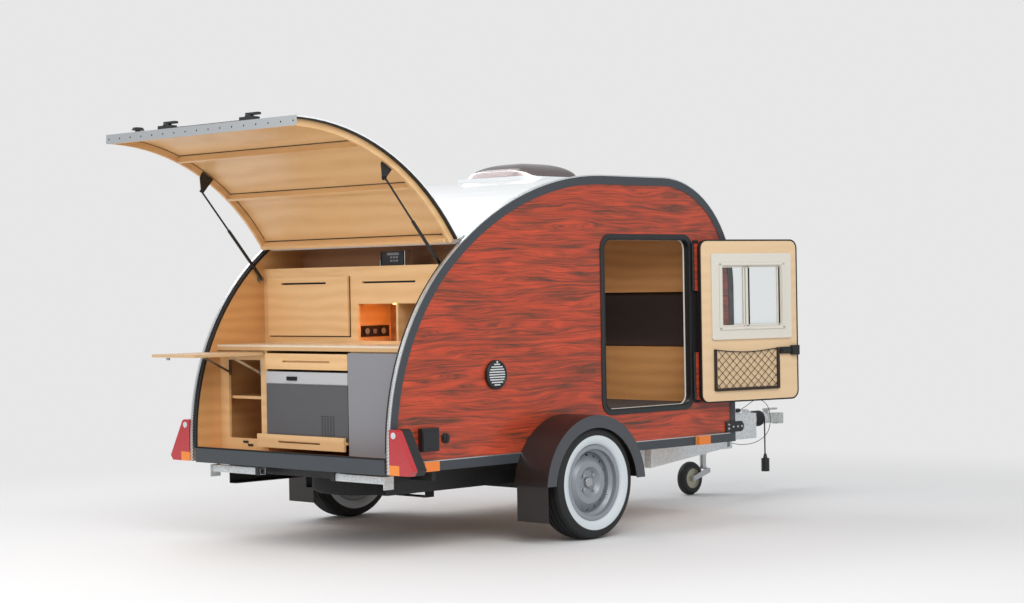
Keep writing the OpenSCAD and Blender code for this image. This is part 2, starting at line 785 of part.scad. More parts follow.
// Window frame: flange inside, tube through the door, and rim outside
module window_frame() {
    side_slab(door_in - 12, door_in) difference() {
        window_hole(window_flange, 12);
        window_hole(0, 20);
    }
    side_slab(door_in - cut, door_out + cut) difference() {
        window_hole(window_tube_t, 30);
        window_hole(0, 20);
    }
    side_slab(door_out, door_out + 4) difference() {
        window_hole(window_tube_t + 22, 45);
        window_hole(0, 20);
    }
}

module window_glass() {
    side_slab(door_in + 8, door_in + 12) window_hole(0, 20);
}

module door_right() color("firebrick") from_coupling() door_stands_open() mirror([0, 1, 0]) door_leaf();
module door_left() color("firebrick") from_coupling() door_leaf();
module door_window_right() color("ivory") from_coupling() door_stands_open() mirror([0, 1, 0])
    window_frame();
module door_window_left() color("ivory") from_coupling() window_frame();
module door_glass_right() color("gray") from_coupling() door_stands_open() mirror([0, 1, 0]) window_glass();
module door_glass_left() color("gray") from_coupling() window_glass();

// Round vent, supply inlet and filler cap on the right wall; tie plates and lamp housings on both
module wall_fittings() color("black") from_coupling() {
    bar_y(-500, sill_z + 458, 74, -half_w - 14, -half_w);
    bar_y(-857, sill_z + 157, 25, -half_w - 10, -half_w);
    block([-1038, -half_w - 30, sill_z + 100], [-924, -half_w, sill_z + 215]);
    both_sides() {
        block([nose_x - 95, half_w + trim_t, sill_z + 54],
            [nose_x + 35, half_w + trim_t + 6, sill_z + 114]);
        bar_y(nose_x + 35, sill_z + 84, 30, half_w + trim_t, half_w + trim_t + 6);
        lamp_prism(tail_x + 30, tail_x + 90);
    }
}

// Triangle of a tail lamp, upright side against the wall
module lamp_prism(x0, x1) {
    y0 = half_w + trim_t + seat_gap;
    translate([x0, 0, 0]) rotate([90, 0, 90]) linear_extrude(x1 - x0)
        polygon([[y0, sill_z], [y0 + 145, sill_z], [y0 + 165, sill_z + 25], [y0 + 60, sill_z + 212],
            [y0 + 45, sill_z + 221], [y0, sill_z + 221]]);
}

// Tail lamps and side marker lamps
module lamps() color("crimson") from_coupling() both_sides() {
    lamp_prism(tail_x - 5, tail_x + 30 - seat_gap);
    for (x = [-969, 1133])
        block([x - 50, half_w + trim_t, sill_z + 1], [x + 50, half_w + trim_t + 22, sill_z + 49]);
}

// ---------------------------------------------------------------- cabin

// Upper and lower front lockers, and the bed's board on its bearers
module cabin_furniture() color("burlywood") from_coupling() {
    locker_x = nose_x - 241;
    intersection() {
        side_slab(-inner_y + seat_gap, inner_y - seat_gap) side_shape(bead_t + roof_t + seat_gap);
        union() {
            block([locker_x, -inner_y, roof_z - 635], [locker_x + board_t, inner_y, roof_z]);
            block([locker_x, -inner_y, roof_z - 635], [nose_x, inner_y, roof_z - 620]);
        }
    }
    lower_top = roof_z - 949;
    block([locker_x, -inner_y, floor_top], [locker_x + board_t, inner_y, lower_top]);
    block([locker_x, -inner_y, lower_top - board_t], [nose_x - bead_t - roof_t, inner_y, lower_top]);
    bed_z = floor_top + 100;
    block([bulkhead_x + board_t, -inner_y, bed_z], [locker_x, inner_y, bed_z + board_t]);
    for (y = [-500, 0, 500])
        block([bulkhead_x + board_t, y - 10, floor_top], [locker_x, y + 10, bed_z + cut]);
}

// Mattress, and the padded panel between the front lockers
module cushions() color("saddlebrown") from_coupling() {
    bed_top = floor_top + 100 + board_t;
    block([bulkhead_x + board_t + 5, -inner_y + 8, bed_top],
        [nose_x - 246, inner_y - 8, bed_top + 98]);
    block([nose_x - 220, -inner_y + 8, roof_z - 948.7], [nose_x - 180, inner_y - 8, roof_z - 635.3]);
}

// ---------------------------------------------------------------- chassis

// A channel along X, open towards its inside
module channel(l, w, h) {
    difference() {
        cube([l, w, h]);
        translate([-cut, -cut, rail_wall]) cube([l + 2 * cut, w - rail_wall + cut, h - 2 * rail_wall]);
    }
}

// Side rails, cross members between them and the outriggers under the sills
module chassis_frame() color("lightgray") from_coupling() {
    rail_back = tail_x + 130;
    both_sides() {
        translate([rail_back, rail_y - rail_w / 2, rail_z]) channel(rail_front - rail_back, rail_w, rail_h);
        for (x = [-930, 480])
            block([x - 12, rail_y + rail_w / 2, sill_z - 50], [x + 12, half_w - 8, sill_z]);
    }
    reach = rail_y - rail_w / 2 - seat_gap;
    for (x = [rail_back + 50, -330, 500])
        block([x - 20, -reach, sill_z - 60], [x + 20, reach, sill_z]);
    // Plate under the floor's rear end, with ears that carry the steadies' pins
    block([steady_x - 30, -reach, sill_z - 11], [steady_x + 30, reach, sill_z]);
    both_sides() {
        for (x = [steady_x - 27, steady_x + 21])
            block([x, steady_in - 15, steady_z - 20], [x + 6, steady_in + 15, sill_z - 10]);
        translate([steady_x - 25, steady_in, steady_z]) rotate([0, 90, 0]) cylinder(r = 5, h = 50);
    }
    // Cradle under the spare wheel: a strap on two hangers
    cradle_z = sill_z - spare_w - 11;
    block([spare_x - 30, -reach + 100, cradle_z], [spare_x + 30, reach - 100, cradle_z + 5]);
    for (y = [-reach + 100, reach - 105])
        block([spare_x - 30, y, cradle_z + 5 - cut], [spare_x + 30, y + 5, sill_z]);
}

// V of the drawbar with a beam across its rear end and plates at its nose
module drawbar() color("lightgray") from_coupling() {
    both_sides() translate([vee_rear[0], vee_rear[1], rail_z]) rotate(atan2(vee_run[1], vee_run[0]))
        translate([0, -rail_w / 2, 0]) cube([vee_l, rail_w, rail_h]);
    block([vee_rear[0] + 15, -vee_rear[1] + 20, rail_z + 20],
        [vee_rear[0] + 55, vee_rear[1] - 20, sill_z - 10]);
    nose = [vee_tip[0] - 60, housing_x[0] - seat_gap];
    block([nose[0], -nose_half_w, rail_z - 6], [nose[1], nose_half_w, rail_z + 6]);
    block([nose[0], -nose_half_w, sill_z - 6], [nose[1], nose_half_w, sill_z + 6]);
    block([nose[1] - 20, -nose_half_w, rail_z], [nose[1], nose_half_w, sill_z]);
}

// Beam with its trailing arms, back plates and stub axles
module axle_beam() color("dimgray") from_coupling() {
    block([axle_x - axle_h / 2, -arm_y[0], rail_z - axle_h], [axle_x + axle_h / 2, arm_y[0], rail_z]);
    both_sides() {
        side_slab(arm_y[0] - cut, arm_y[1]) {
            translate([axle_x, rail_z - axle_h / 2]) circle(r = 34);
            translate([0, tyre_r]) circle(r = 30);
            polygon([[axle_x, rail_z - axle_h / 2 - 34], [axle_x, rail_z - axle_h / 2 + 34],
                [0, tyre_r + 30], [0, tyre_r - 30]]);
        }
        bar_y(0, tyre_r, 105, arm_y[1] - cut, arm_y[1] + 8);
        bar_y(0, tyre_r, stub_r, arm_y[1], track_y - 20);
    }
}

// ---------------------------------------------------------------- wheels

// Section of a tyre: radius and distance from the wheel's middle plane
module tyre_section(w) {
    h = w / 2;
    bead = h - flange_in - seat_gap;
    inside = bead_seat_r + seat_gap;
    neck = rim_r + 3;
    polygon([
        [inside, -bead], [neck, -bead], [neck + 3, -h + 12], [bead_seat_r + 40, -h + 2],
            [bead_seat_r + 55, -h],
        [bead_seat_r + 85, -h + 5], [tyre_r - 7, -h + 18], [tyre_r, -h + 30], [tyre_r, h - 30],
            [tyre_r - 7, h - 18],
        [bead_seat_r + 85, h - 5], [bead_seat_r + 55, h], [bead_seat_r + 40, h - 2], [neck + 3, h - 12],
        [neck, bead], [inside, bead], [inside, bead - 12], [bead_seat_r + 44, h - 14],
            [tyre_r - 22, h - 26],
        [tyre_r - 12, h - 40], [tyre_r - 12, -h + 40], [tyre_r - 22, -h + 26],
        [bead_seat_r + 44, -h + 14], [inside, -bead + 12]
    ]);
}

module tyre_ring(w) {
    rotate_extrude($fn = 96) tyre_section(w);
}

// Steel wheel: rim, dished disc and brake drum, with +Z outwards
module wheel_rim() {
    h = tyre_w / 2;
    rotate_extrude($fn = 96) polygon([
        [rim_r, h - flange_in], [rim_r, h - 18], [bead_seat_r - 4, h - 18], [bead_seat_r - 4, h - 44],
        [158, h - 60], [158, -h + 50], [bead_seat_r - 4, -h + 40], [bead_seat_r - 4, -h + 18],
        [rim_r, -h + 18], [rim_r, -h + flange_in], [bead_seat_r, -h + flange_in], [bead_seat_r, -h + 42],
        [162, -h + 53], [162, h - 63], [bead_seat_r, h - 47], [bead_seat_r, h - flange_in]
    ]);
    difference() {
        union() {
            rotate_extrude($fn = 96) polygon([
                [0, 16], [62, 16], [80, 38], [110, 38], [130, 22], [158.5, 4],
                [158.5, 0], [130, 17], [110, 33], [83, 33], [66, 10], [0, 10]
            ]);
            translate([0, 0, -50]) cylinder(r = 100, h = 61, $fn = 96);
        }
        translate([0, 0, -52]) cylinder(r = stub_r + shaft_gap, h = 53);
        // Round vent holes near the disc's edge
        for (k = [0 : vent_holes - 1]) rotate(360 * k / vent_holes)
            translate([vent_ring_r, 0, 0]) cylinder(r = vent_r, h = 40, $fn = 24);
    }
    // Wheel bolts
    for (k = [0 : 3]) rotate(45 + 90 * k) translate([50, 0, 15]) cylinder(r1 = 11, r2 = 9, h = 14, $fn = 6);
}

module at_wheel(side) {
    translate([0, side * track_y, tyre_r]) rotate([-90 * side, 0, 0]) children();
}

module tyre_right() color("black") from_coupling() at_wheel(-1) tyre_ring(tyre_w);
module tyre_left() color("black") from_coupling() at_wheel(1) tyre_ring(tyre_w);
module rim_right() color("silver") from_coupling() at_wheel(-1) wheel_rim();
module rim_left() color("silver") from_coupling() at_wheel(1) wheel_rim();

// Tyre and plain disc carried flat under the floor
module spare_wheel() color("black") from_coupling() {
    translate([spare_x, 0, sill_z - spare_w / 2 - 6]) {
        tyre_ring(spare_w);
        rotate_extrude($fn = 96) polygon([
            [0, -8], [120, -8], [150, -50], [bead_seat_r + 3.7, -56], [bead_seat_r + 3.7, -50],
            [156, -44], [156, 50], [bead_seat_r + 3.7, 56], [bead_seat_r + 3.7, 62], [150, 56], [150, -40],
            [126, -2], [0, -2]
        ]);
    }
}

// Arched guard over each wheel, with its outer ring and the flap behind
module mudguards() color("dimgray") from_coupling() both_sides() {
    guard_z = 268;
    guard_out = track_y + tyre_w / 2 + 9;
    foot_z = guard_z + 30;
    side_slab(half_w + trim_t, guard_out) guard_arch(guard_z, foot_z, 8);
    side_slab(guard_out - 4, guard_out) guard_arch(guard_z, foot_z, 65);
    block([-guard_r + 8, half_w + trim_t + 10, guard_z - 154],
        [-guard_r + 14, guard_out - 10, foot_z + 20]);
}

module guard_arch(middle_z, foot_z, depth) {
    difference() {
        translate([0, middle_z]) circle(r = guard_r, $fn = 96);
        translate([0, middle_z]) circle(r = guard_r - depth, $fn = 96);
        translate([-2 * guard_r, foot_z - 4 * guard_r]) square([4 * guard_r, 4 * guard_r]);
    }
}

// ---------------------------------------------------------------- steadies

module steady_leg() {
    difference() {
        block([steady_x - 20, steady_in - 15, steady_z - 18],
            [steady_x + 20, steady_out - 30, steady_z + 18]);
        block([steady_x - 16, steady_in - 16, steady_z - 14],
            [steady_x + 16, steady_out - 29, steady_z + 19]);
        translate([steady_x - 22, steady_in, steady_z]) rotate([0, 90, 0])
            cylinder(r = 5 + shaft_gap, h = 44);
    }
    block([steady_x - 32, steady_out - 30, steady_z - 45], [steady_x + 32, steady_out - 24, steady_z + 20]);
}

module steady_right() color("gray") from_coupling() mirror([0, 1, 0]) steady_leg();
module steady_left() color("gray") from_coupling() steady_leg();

// ---------------------------------------------------------------- jockey wheel

// Outer tube in its clamp on the drawbar, with the winding handle on top
module jockey_mast() color("silver") from_coupling() {
    translate([jockey_x, jockey_y, 0]) {
        difference() {
            union() {
                translate([0, 0, mast_z[0]]) cylinder(r = mast_r, h = mast_z[1] - mast_z[0]);
                translate([0, 0, rail_z + 30]) cylinder(r = mast_r + 8, h = 60);
            }
            translate([0, 0, mast_z[0] - cut])
                cylinder(r = stem_r + shaft_gap, h = mast_z[1] - mast_z[0] - 8);
        }
        translate([0, 0, mast_z[1] - cut]) cylinder(r = 8, h = 25);
        translate([-8, -8, mast_z[1] + 15]) cube([100, 16, 8]);
        translate([84, 0, mast_z[1] + 20]) cylinder(r = 8, h = 70);
    }
    block([jockey_x + 5, nose_half_w + seat_gap, rail_z + 35],
        [jockey_x + 30, jockey_y - mast_r, rail_z + 85]);
}

module jockey_stem() color("silver") from_coupling() {
    translate([jockey_x, jockey_y, stem_z]) cylinder(r = stem_r, h = 300);
}

module jockey_fork() color("silver") from_coupling() {
    translate([jockey_x, jockey_y, 0]) {
        translate([0, 0, stem_z - 8 - seat_gap]) cylinder(r = 26, h = 8);
        for (side = [-1, 1]) translate([0, side * 37, 0]) side_slab(-2, 2) {
            polygon([[-fork_trail, jockey_r - 16], [-fork_trail, jockey_r + 16],
                [-20, stem_z - 8], [26, stem_z - 8], [26, stem_z - 34]]);
            translate([-fork_trail, jockey_r]) circle(r = 16);
        }
        block([2, -38, stem_z - 14], [26, 38, stem_z - 7]);
        bar_y(-fork_trail, jockey_r, 6, -42, 42);
    }
}

module jockey_wheel() color("black") from_coupling() {
    translate([jockey_x - fork_trail, jockey_y, jockey_r]) rotate([90, 0, 0])
        rotate_extrude($fn = 96) polygon([
            [6 + shaft_gap, -30], [18, -30], [18, -12], [60, -12], [60, -26], [82, -28], [97, -20],
                [jockey_r, -8],
            [jockey_r, 8], [97, 20], [82, 28], [60, 26], [60, 12], [18, 12], [18, 30], [6 + shaft_gap, 30]
        ]);
}

// ---------------------------------------------------------------- coupling

// Housing on the drawbar's nose, shaft with its bellow, handbrake lever and cable gland
module overrun_unit() color("gray") from_coupling() {
    block([housing_x[0], -55, rail_z + 42], [housing_x[1], 55, tube_z + 41]);
    translate([housing_x[1] - cut, 0, tube_z]) rotate([0, 90, 0])
        cylinder(r = bellow_r, h = head_x - housing_x[1] - 6);
    translate([housing_x[1] - cut, 0, tube_z]) rotate([0, 90, 0])
        cylinder(r = 25, h = head_x - housing_x[1] + cut);
    block([housing_x[1] - 60, -12, tube_z + 38 - cut], [housing_x[1] - 20, 12, tube_z + 62]);
    translate([gland_face_x, 0, tube_z + coil_r]) rotate([0, -90, 0]) cylinder(r = 8, h = 28);
    translate([housing_x[1] - 30, 0, tube_z + 60]) rotate([0, -90, 0]) cylinder(r = 7, h = 150);
    translate([housing_x[1] - 105, 0, tube_z + 60]) rotate([0, -90, 0]) cylinder(r = 12, h = 95);
}

// Ball coupling with its release handle
module coupling_head() color("silver") from_coupling() {
    difference() {
        union() {
            translate([coupling_x, 0, coupling_z - 22]) cylinder(r = 38, h = 68);
            block([head_x, -30, coupling_z - 12], [coupling_x, 30, coupling_z + 46]);
            block([head_x + 10, -12, coupling_z + 46 - cut], [head_x + 40, 12, coupling_z + 76]);
            block([head_x + 10, -16, coupling_z + 68], [coupling_x - 20, 16, coupling_z + 80]);
        }
        translate([coupling_x, 0, coupling_z - 22 - cut]) cylinder(r = socket_r, h = 44 + cut);
    }
}

// ---------------------------------------------------------------- cords

module power_cable() color("black") from_coupling() {
    swept_tube(lead_points, cable_d, 10);
    swept_tube(drop_points, cable_d, 10);
}

module power_cable_coil() color("black") from_coupling() {
    translate([coil_x[0], 0, tube_z]) rotate([0, 90, 0]) difference() {
        cylinder(r = coil_r + cable_d / 2, h = coil_x[1] - coil_x[0]);
        translate([0, 0, -cut]) cylinder(r = coil_r - cable_d / 2, h = coil_x[1] - coil_x[0] + 2 * cut);
    }
}

module power_plug() color("black") from_coupling() {
    translate([plug_top[0], plug_top[1], 0]) {
        translate([0, 0, plug_top[2] - 30]) cylinder(r1 = 15, r2 = 8, h = 30);
        translate([0, 0, plug_top[2] - 112]) cylinder(r = 26, h = 83);
    }
}

module breakaway_cable() color("black") from_coupling() {
    swept_tube(breakaway_points, breakaway_d, 8);
}

// ---------------------------------------------------------------- choice of node

floor_pan();
side_wall_right();
side_wall_left();
roof_panel();
edge_trims();
edge_beads();
rear_sill();
hatch_seal();
bulkhead();
lower_cabinet();
worktop();
upper_cabinet();
service_panel();
galley_electrics();
galley_brackets();
cabin_furniture();
cushions();
skylight_frame();
skylight_dome();
wall_fittings();
lamps();
door_frames();
door_right();
door_left();
door_window_right();
door_window_left();
door_glass_right();
door_glass_left();
chassis_frame();
drawbar();
axle_beam();
mudguards();
spare_wheel();
steady_right();
steady_left();
tyre_right();
tyre_left();
rim_right();
rim_left();
jockey_mast();
jockey_stem();
jockey_fork();
jockey_wheel();
overrun_unit();
coupling_head();
power_cable();
power_cable_coil();
power_plug();
breakaway_cable();
hatch_skin();
hatch_ribs();
hatch_fittings();
strut_tubes();
strut_rods();
flap_table();
flap_braces();
upper_door();
cutlery_drawer();
fridge_tray();
fridge();
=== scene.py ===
import json
from math import cos, pi, radians, sin

import bmesh
import bpy
from mathutils import Matrix, Vector


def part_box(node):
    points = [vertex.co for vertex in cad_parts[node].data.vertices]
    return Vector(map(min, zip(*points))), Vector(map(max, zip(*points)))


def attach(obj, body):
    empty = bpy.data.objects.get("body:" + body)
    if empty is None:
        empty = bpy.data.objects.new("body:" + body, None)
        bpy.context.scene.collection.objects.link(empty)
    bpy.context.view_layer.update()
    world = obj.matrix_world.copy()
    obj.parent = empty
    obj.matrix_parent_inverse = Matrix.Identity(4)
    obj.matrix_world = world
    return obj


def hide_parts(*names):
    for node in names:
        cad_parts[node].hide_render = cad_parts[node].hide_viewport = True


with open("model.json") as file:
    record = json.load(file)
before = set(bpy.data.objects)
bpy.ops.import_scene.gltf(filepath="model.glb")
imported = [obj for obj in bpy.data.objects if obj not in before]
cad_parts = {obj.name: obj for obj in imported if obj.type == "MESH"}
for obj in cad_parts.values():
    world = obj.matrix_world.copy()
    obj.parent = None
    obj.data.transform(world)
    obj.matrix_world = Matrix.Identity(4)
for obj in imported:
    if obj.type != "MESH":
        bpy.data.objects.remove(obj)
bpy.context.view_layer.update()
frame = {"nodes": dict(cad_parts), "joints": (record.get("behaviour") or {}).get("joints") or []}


# Studio: a pale floor that runs into a backdrop of the same tone, one wide lamp over each side of
# the trailer and an even light all round, and a long lens at standing height.

def tone(code):
    """A colour of a paint chart, as the linear values that shaders take."""
    parts = [int(code[i : i + 2], 16) / 255 for i in (1, 3, 5)]
    return [p / 12.92 if p < 0.0405 else ((p + 0.055) / 1.055) ** 2.4 for p in parts] + [1.0]


def add(tree, kind, links=None, **settings):
    """Adds a node with its settings; links holds a value or another node's output for each input."""
    made = tree.nodes.new("ShaderNode" + kind)
    for name, value in settings.items():
        setattr(made, name, value)
    for socket, value in (links or {}).items():
        if isinstance(value, bpy.types.NodeSocket):
            tree.links.new(value, made.inputs[socket])
        else:
            made.inputs[socket].default_value = value
    return made


def here(tree):
    return add(tree, "TexCoord").outputs["Object"]


def ramp(tree, value, low, high, start=0.0, end=1.0, **settings):
    """Carries a value's range from low to high over to the range from start to end."""
    return add(tree, "MapRange", {0: value, 1: low, 2: high, 3: start, 4: end}, **settings).outputs[0]


def math(tree, operation, *values):
    return add(tree, "Math", dict(enumerate(values)), operation=operation).outputs[0]


def times(tree, a, b):
    return math(tree, "MULTIPLY", a, b)


def stretch(tree, place, scale):
    return add(tree, "Mapping", {"Vector": place, "Scale": scale}).outputs[0]


def noise(tree, place, scale, detail=2.0, **sockets):
    return add(tree, "TexNoise", {"Vector": place, "Scale": scale, "Detail": detail, **sockets}).outputs[0]


def waves(tree, place, scale, direction="X"):
    return add(tree, "TexWave", {"Vector": place, "Scale": scale}, bands_direction=direction).outputs["Fac"]


def off_axis(tree, place, keep):
    """Distance of a place from the origin, along the axes that keep holds."""
    kept = add(tree, "VectorMath", {0: place, 1: keep}, operation="MULTIPLY").outputs[0]
    return add(tree, "VectorMath", {0: kept}, operation="LENGTH").outputs["Value"]


def finish(name, code, roughness, metallic=0.0, **sockets):
    """A material of one colour, to which a section adds its grain."""
    made = bpy.data.materials.new(name)
    made.use_nodes = True
    shader = made.node_tree.nodes["Principled BSDF"]
    made.diffuse_color = tone(code)
    shader.inputs["Base Color"].default_value = tone(code)
    shader.inputs["Roughness"].default_value = roughness
    shader.inputs["Metallic"].default_value = metallic
    for socket, value in sockets.items():
        shader.inputs[socket.replace("_", " ")].default_value = value
    return made, made.node_tree, shader


ground_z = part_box("tyre_right")[0].z
axle = (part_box("tyre_right")[0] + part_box("tyre_right")[1]) / 2
axle = Vector((axle.x, 0, ground_z))


def at(x, y, z):
    """A place measured in metres from the ground under the axle."""
    return axle + Vector((x, y, z))


both_sides = ((-1, "right"), (1, "left"))
backdrop = tone("#e7e7e7")
paper, tree, shader = finish("studio_paper", "#e2e2e2", 0.8)
place = here(tree)
far = add(tree, "VectorMath", {0: place}, operation="LENGTH").outputs["Value"]
fade = ramp(tree, far, 2.6, 6.0, interpolation_type="SMOOTHSTEP")
seen = add(tree, "LightPath").outputs["Is Camera Ray"]
share = times(tree, fade, seen)
plain = add(tree, "Emission", {"Color": backdrop, "Strength": 1.0}).outputs[0]
mixed = add(tree, "MixShader", {0: share, 1: shader.outputs[0], 2: plain}).outputs[0]
tree.links.new(mixed, tree.nodes["Material Output"].inputs["Surface"])

sheet = bmesh.new()
bmesh.ops.create_circle(sheet, cap_ends=True, segments=96, radius=60)
floor_mesh = bpy.data.meshes.new("studio_floor")
sheet.to_mesh(floor_mesh)
floor_mesh.materials.append(paper)
floor = bpy.data.objects.new("studio_floor", floor_mesh)
floor.location = at(0, 0, 0)
bpy.context.scene.collection.objects.link(floor)

world = bpy.data.worlds.new("studio_air")
world.use_nodes = True
bpy.context.scene.world = world
tree = world.node_tree
around = tree.nodes["Background"]
around.inputs["Color"].default_value = tone("#f4f5f7")
around.inputs["Strength"].default_value = 0.66
rays = add(tree, "LightPath")
clear = math(tree, "MAXIMUM", rays.outputs["Is Camera Ray"], rays.outputs["Is Transmission Ray"])
paper_tone = add(tree, "Background", {"Color": backdrop, "Strength": 1.0}).outputs[0]
mixed = add(tree, "MixShader", {0: clear, 1: around.outputs[0], 2: paper_tone}).outputs[0]
tree.links.new(mixed, tree.nodes["World Output"].inputs["Surface"])

# Each lamp: name, place, side length and power
for name, place, size, power in [
    ("lamp_over_near_side", at(-3.0, -5.5, 5.2), 5.0, 300),
    ("lamp_over_far_side", at(0.5, 4.5, 5.5), 4.5, 170),
    ("lamp_behind_tail", at(-6.0, 0.5, 3.5), 3.5, 105),
    ("lamp_in_the_cabin", at(0.55, 0.0, 1.82), 0.55, 7),
]:
    lamp = bpy.data.lights.new(name, "AREA")
    lamp.size = size
    lamp.energy = power
    stand = bpy.data.objects.new(name, lamp)
    stand.location = place
    stand.rotation_euler = (at(0, 0, 0.9) - place).to_track_quat("-Z", "Y").to_euler()
    bpy.context.scene.collection.objects.link(stand)

yaw, pitch, roll = radians(-45.459), radians(-0.346), radians(-0.947)
ahead = Vector((-sin(yaw) * cos(pitch), cos(yaw) * cos(pitch), sin(pitch)))
side = Vector((cos(yaw), sin(yaw), 0))
up = side.cross(ahead)
side, up = cos(roll) * side + sin(roll) * up, cos(roll) * up - sin(roll) * side
camera = bpy.data.objects.new("camera", bpy.data.cameras.new("camera"))
camera.data.lens = 75.37
camera.data.sensor_width = 36
camera.matrix_world = Matrix((side, up, -ahead)).transposed().to_4x4()
camera.location = at(-8.187, -8.487, 1.304)
bpy.context.scene.collection.objects.link(camera)
bpy.context.scene.camera = camera
bpy.context.scene.view_settings.view_transform = "Standard"


# Power lead: soft black rubber cable with a plug, wound round the bellow of the coupling for parking.
# Breakaway cable: a thin steel rope in a black sheath, from the handbrake round to the drawbar.

def emboss(tree, shader, height, strength, distance):
    bump = add(tree, "Bump", {"Height": height, "Strength": strength, "Distance": distance}).outputs[0]
    tree.links.new(bump, shader.inputs["Normal"])


def paint(tree, shader, colour):
    tree.links.new(colour, shader.inputs["Base Color"])


def grain(tree, shader, scale, strength):
    """Fine unevenness over the whole surface; scale is in grains to the metre."""
    place = here(tree)
    emboss(tree, shader, noise(tree, place, scale, 4.0), strength, 0.001)
    return place


def even(name, code, roughness, metallic, scale, strength, **sockets):
    """A material of one colour with the same fine grain all over."""
    made, tree, shader = finish(name, code, roughness, metallic, **sockets)
    grain(tree, shader, scale, strength)
    return made


def wire(name, paths, radius, material, body, sides=3, closed=False):
    """Round wires or cords, each along its own list of points."""
    line = bpy.data.curves.new(name, "CURVE")
    line.dimensions = "3D"
    line.bevel_depth = radius
    line.bevel_resolution = sides
    line.use_fill_caps = True
    for path in paths:
        spline = line.splines.new("POLY")
        spline.points.add(len(path) - 1)
        for point, p in zip(spline.points, path):
            point.co = (*p, 1)
        spline.use_cyclic_u = closed
    line.materials.append(material)
    made = bpy.data.objects.new(name, line)
    bpy.context.scene.collection.objects.link(made)
    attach(made, body)
    return made


sheath = even("rubber_sheath", "#17181a", 0.5, 0.0, 400, 0.15)

lead_d = 0.009
wind_r = 0.046
lead_z = 0.45
turns = 7.25
pitch_x = 0.0098
wind_x = 2.5965
exit_x = 2.578
bend_x = 2.5815
per_turn = 24
lead = [at(exit_x, 0, lead_z + wind_r), at(bend_x, 0, lead_z + wind_r)]
ease = 12
for i in range(1, ease + 1):
    t = i / ease
    turn = radians(90) + radians(60) * t * t
    x = bend_x + (wind_x - bend_x) * (1 - (1 - t) ** 2)
    lead.append(at(x, wind_r * cos(turn), lead_z + wind_r * sin(turn)))
steps = int(turns * per_turn) - 4
for i in range(1, steps + 1):
    turn = radians(150) + 2 * pi * i / per_turn
    x = wind_x + pitch_x * i / per_turn
    lead.append(at(x, wind_r * cos(turn), lead_z + wind_r * sin(turn)))
drop_x = lead[-1].x - axle.x
for z in [0.436, 0.42, 0.40, 0.375, 0.35, 0.325, 0.30, 0.275, 0.25, 0.226]:
    lead.append(at(drop_x, -wind_r, z))
power_lead = wire("power_lead", [lead], lead_d / 2, sheath, "trailer", sides=4)
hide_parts("power_cable", "power_cable_coil")

rope_d = 0.004
rope = [at(x / 1000, y / 1000, z / 1000) for x, y, z in [
    (2440, -12, 512), (2442, -24, 516), (2448, -40, 524), (2460, -56, 536), (2478, -67, 550),
    (2504, -74, 566), (2530, -77, 575), (2560, -78, 577), (2592, -78, 572), (2622, -78, 560),
    (2648, -78, 542), (2668, -78, 518), (2680, -78, 490), (2686, -78, 460), (2684, -78, 428),
    (2676, -78, 398), (2660, -78, 370), (2636, -76, 346), (2604, -74, 328), (2566, -72, 314),
    (2520, -70, 304), (2470, -68, 300), (2420, -66, 300), (2374, -64, 304), (2340, -62, 310),
    (2318, -60, 316), (2300, -60, 320)]]
breakaway = wire("breakaway_rope", [rope], rope_d / 2, sheath, "trailer")
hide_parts("breakaway_cable")


# Body sides: plywood with a high-pressure laminate on the outside, printed and pressed as rosewood:
# orange red with long dark streaks that swirl round knots. The inside and the cut edges are bare ply.

def zone(tree, place, direction, distance, width=0.0004):
    """1 where a place lies further than a distance along a direction, else 0."""
    along = add(tree, "VectorMath", {0: place, 1: direction}, operation="DOT_PRODUCT").outputs["Value"]
    return ramp(tree, along, distance - width, distance + width)


def blend(tree, share, a, b):
    """A colour between two others."""
    made = add(tree, "Mix", {0: share}, data_type="RGBA")
    for socket, value in ((6, a), (7, b)):
        if isinstance(value, bpy.types.NodeSocket):
            tree.links.new(value, made.inputs[socket])
        else:
            made.inputs[socket].default_value = value
    return made.outputs[2]


def ply_grain(tree, place, light, dark):
    """Rotary-cut birch veneer: pale, with faint flames some 60 mm apart and short fine pores."""
    place = stretch(tree, place, (1, 1, 3.2))
    cloud = noise(tree, place, 2.6, 4, Distortion=1.2)
    flame = add(tree, "TexWave", {"Vector": place, "Scale": 1.4, "Distortion": 7, "Detail": 3,
                                  "Detail Scale": 0.7}, bands_direction="Z").outputs["Fac"]
    pores = stretch(tree, place, (1, 1, 12))
    pores = noise(tree, pores, 36, 3)
    both = times(tree, cloud, flame)
    share = ramp(tree, both, 0.05, 0.8, 0.0, 0.5)
    base = blend(tree, share, light, dark)
    speck = ramp(tree, pores, 0.5, 0.8, 0.0, 0.45)
    return blend(tree, speck, base, dark)


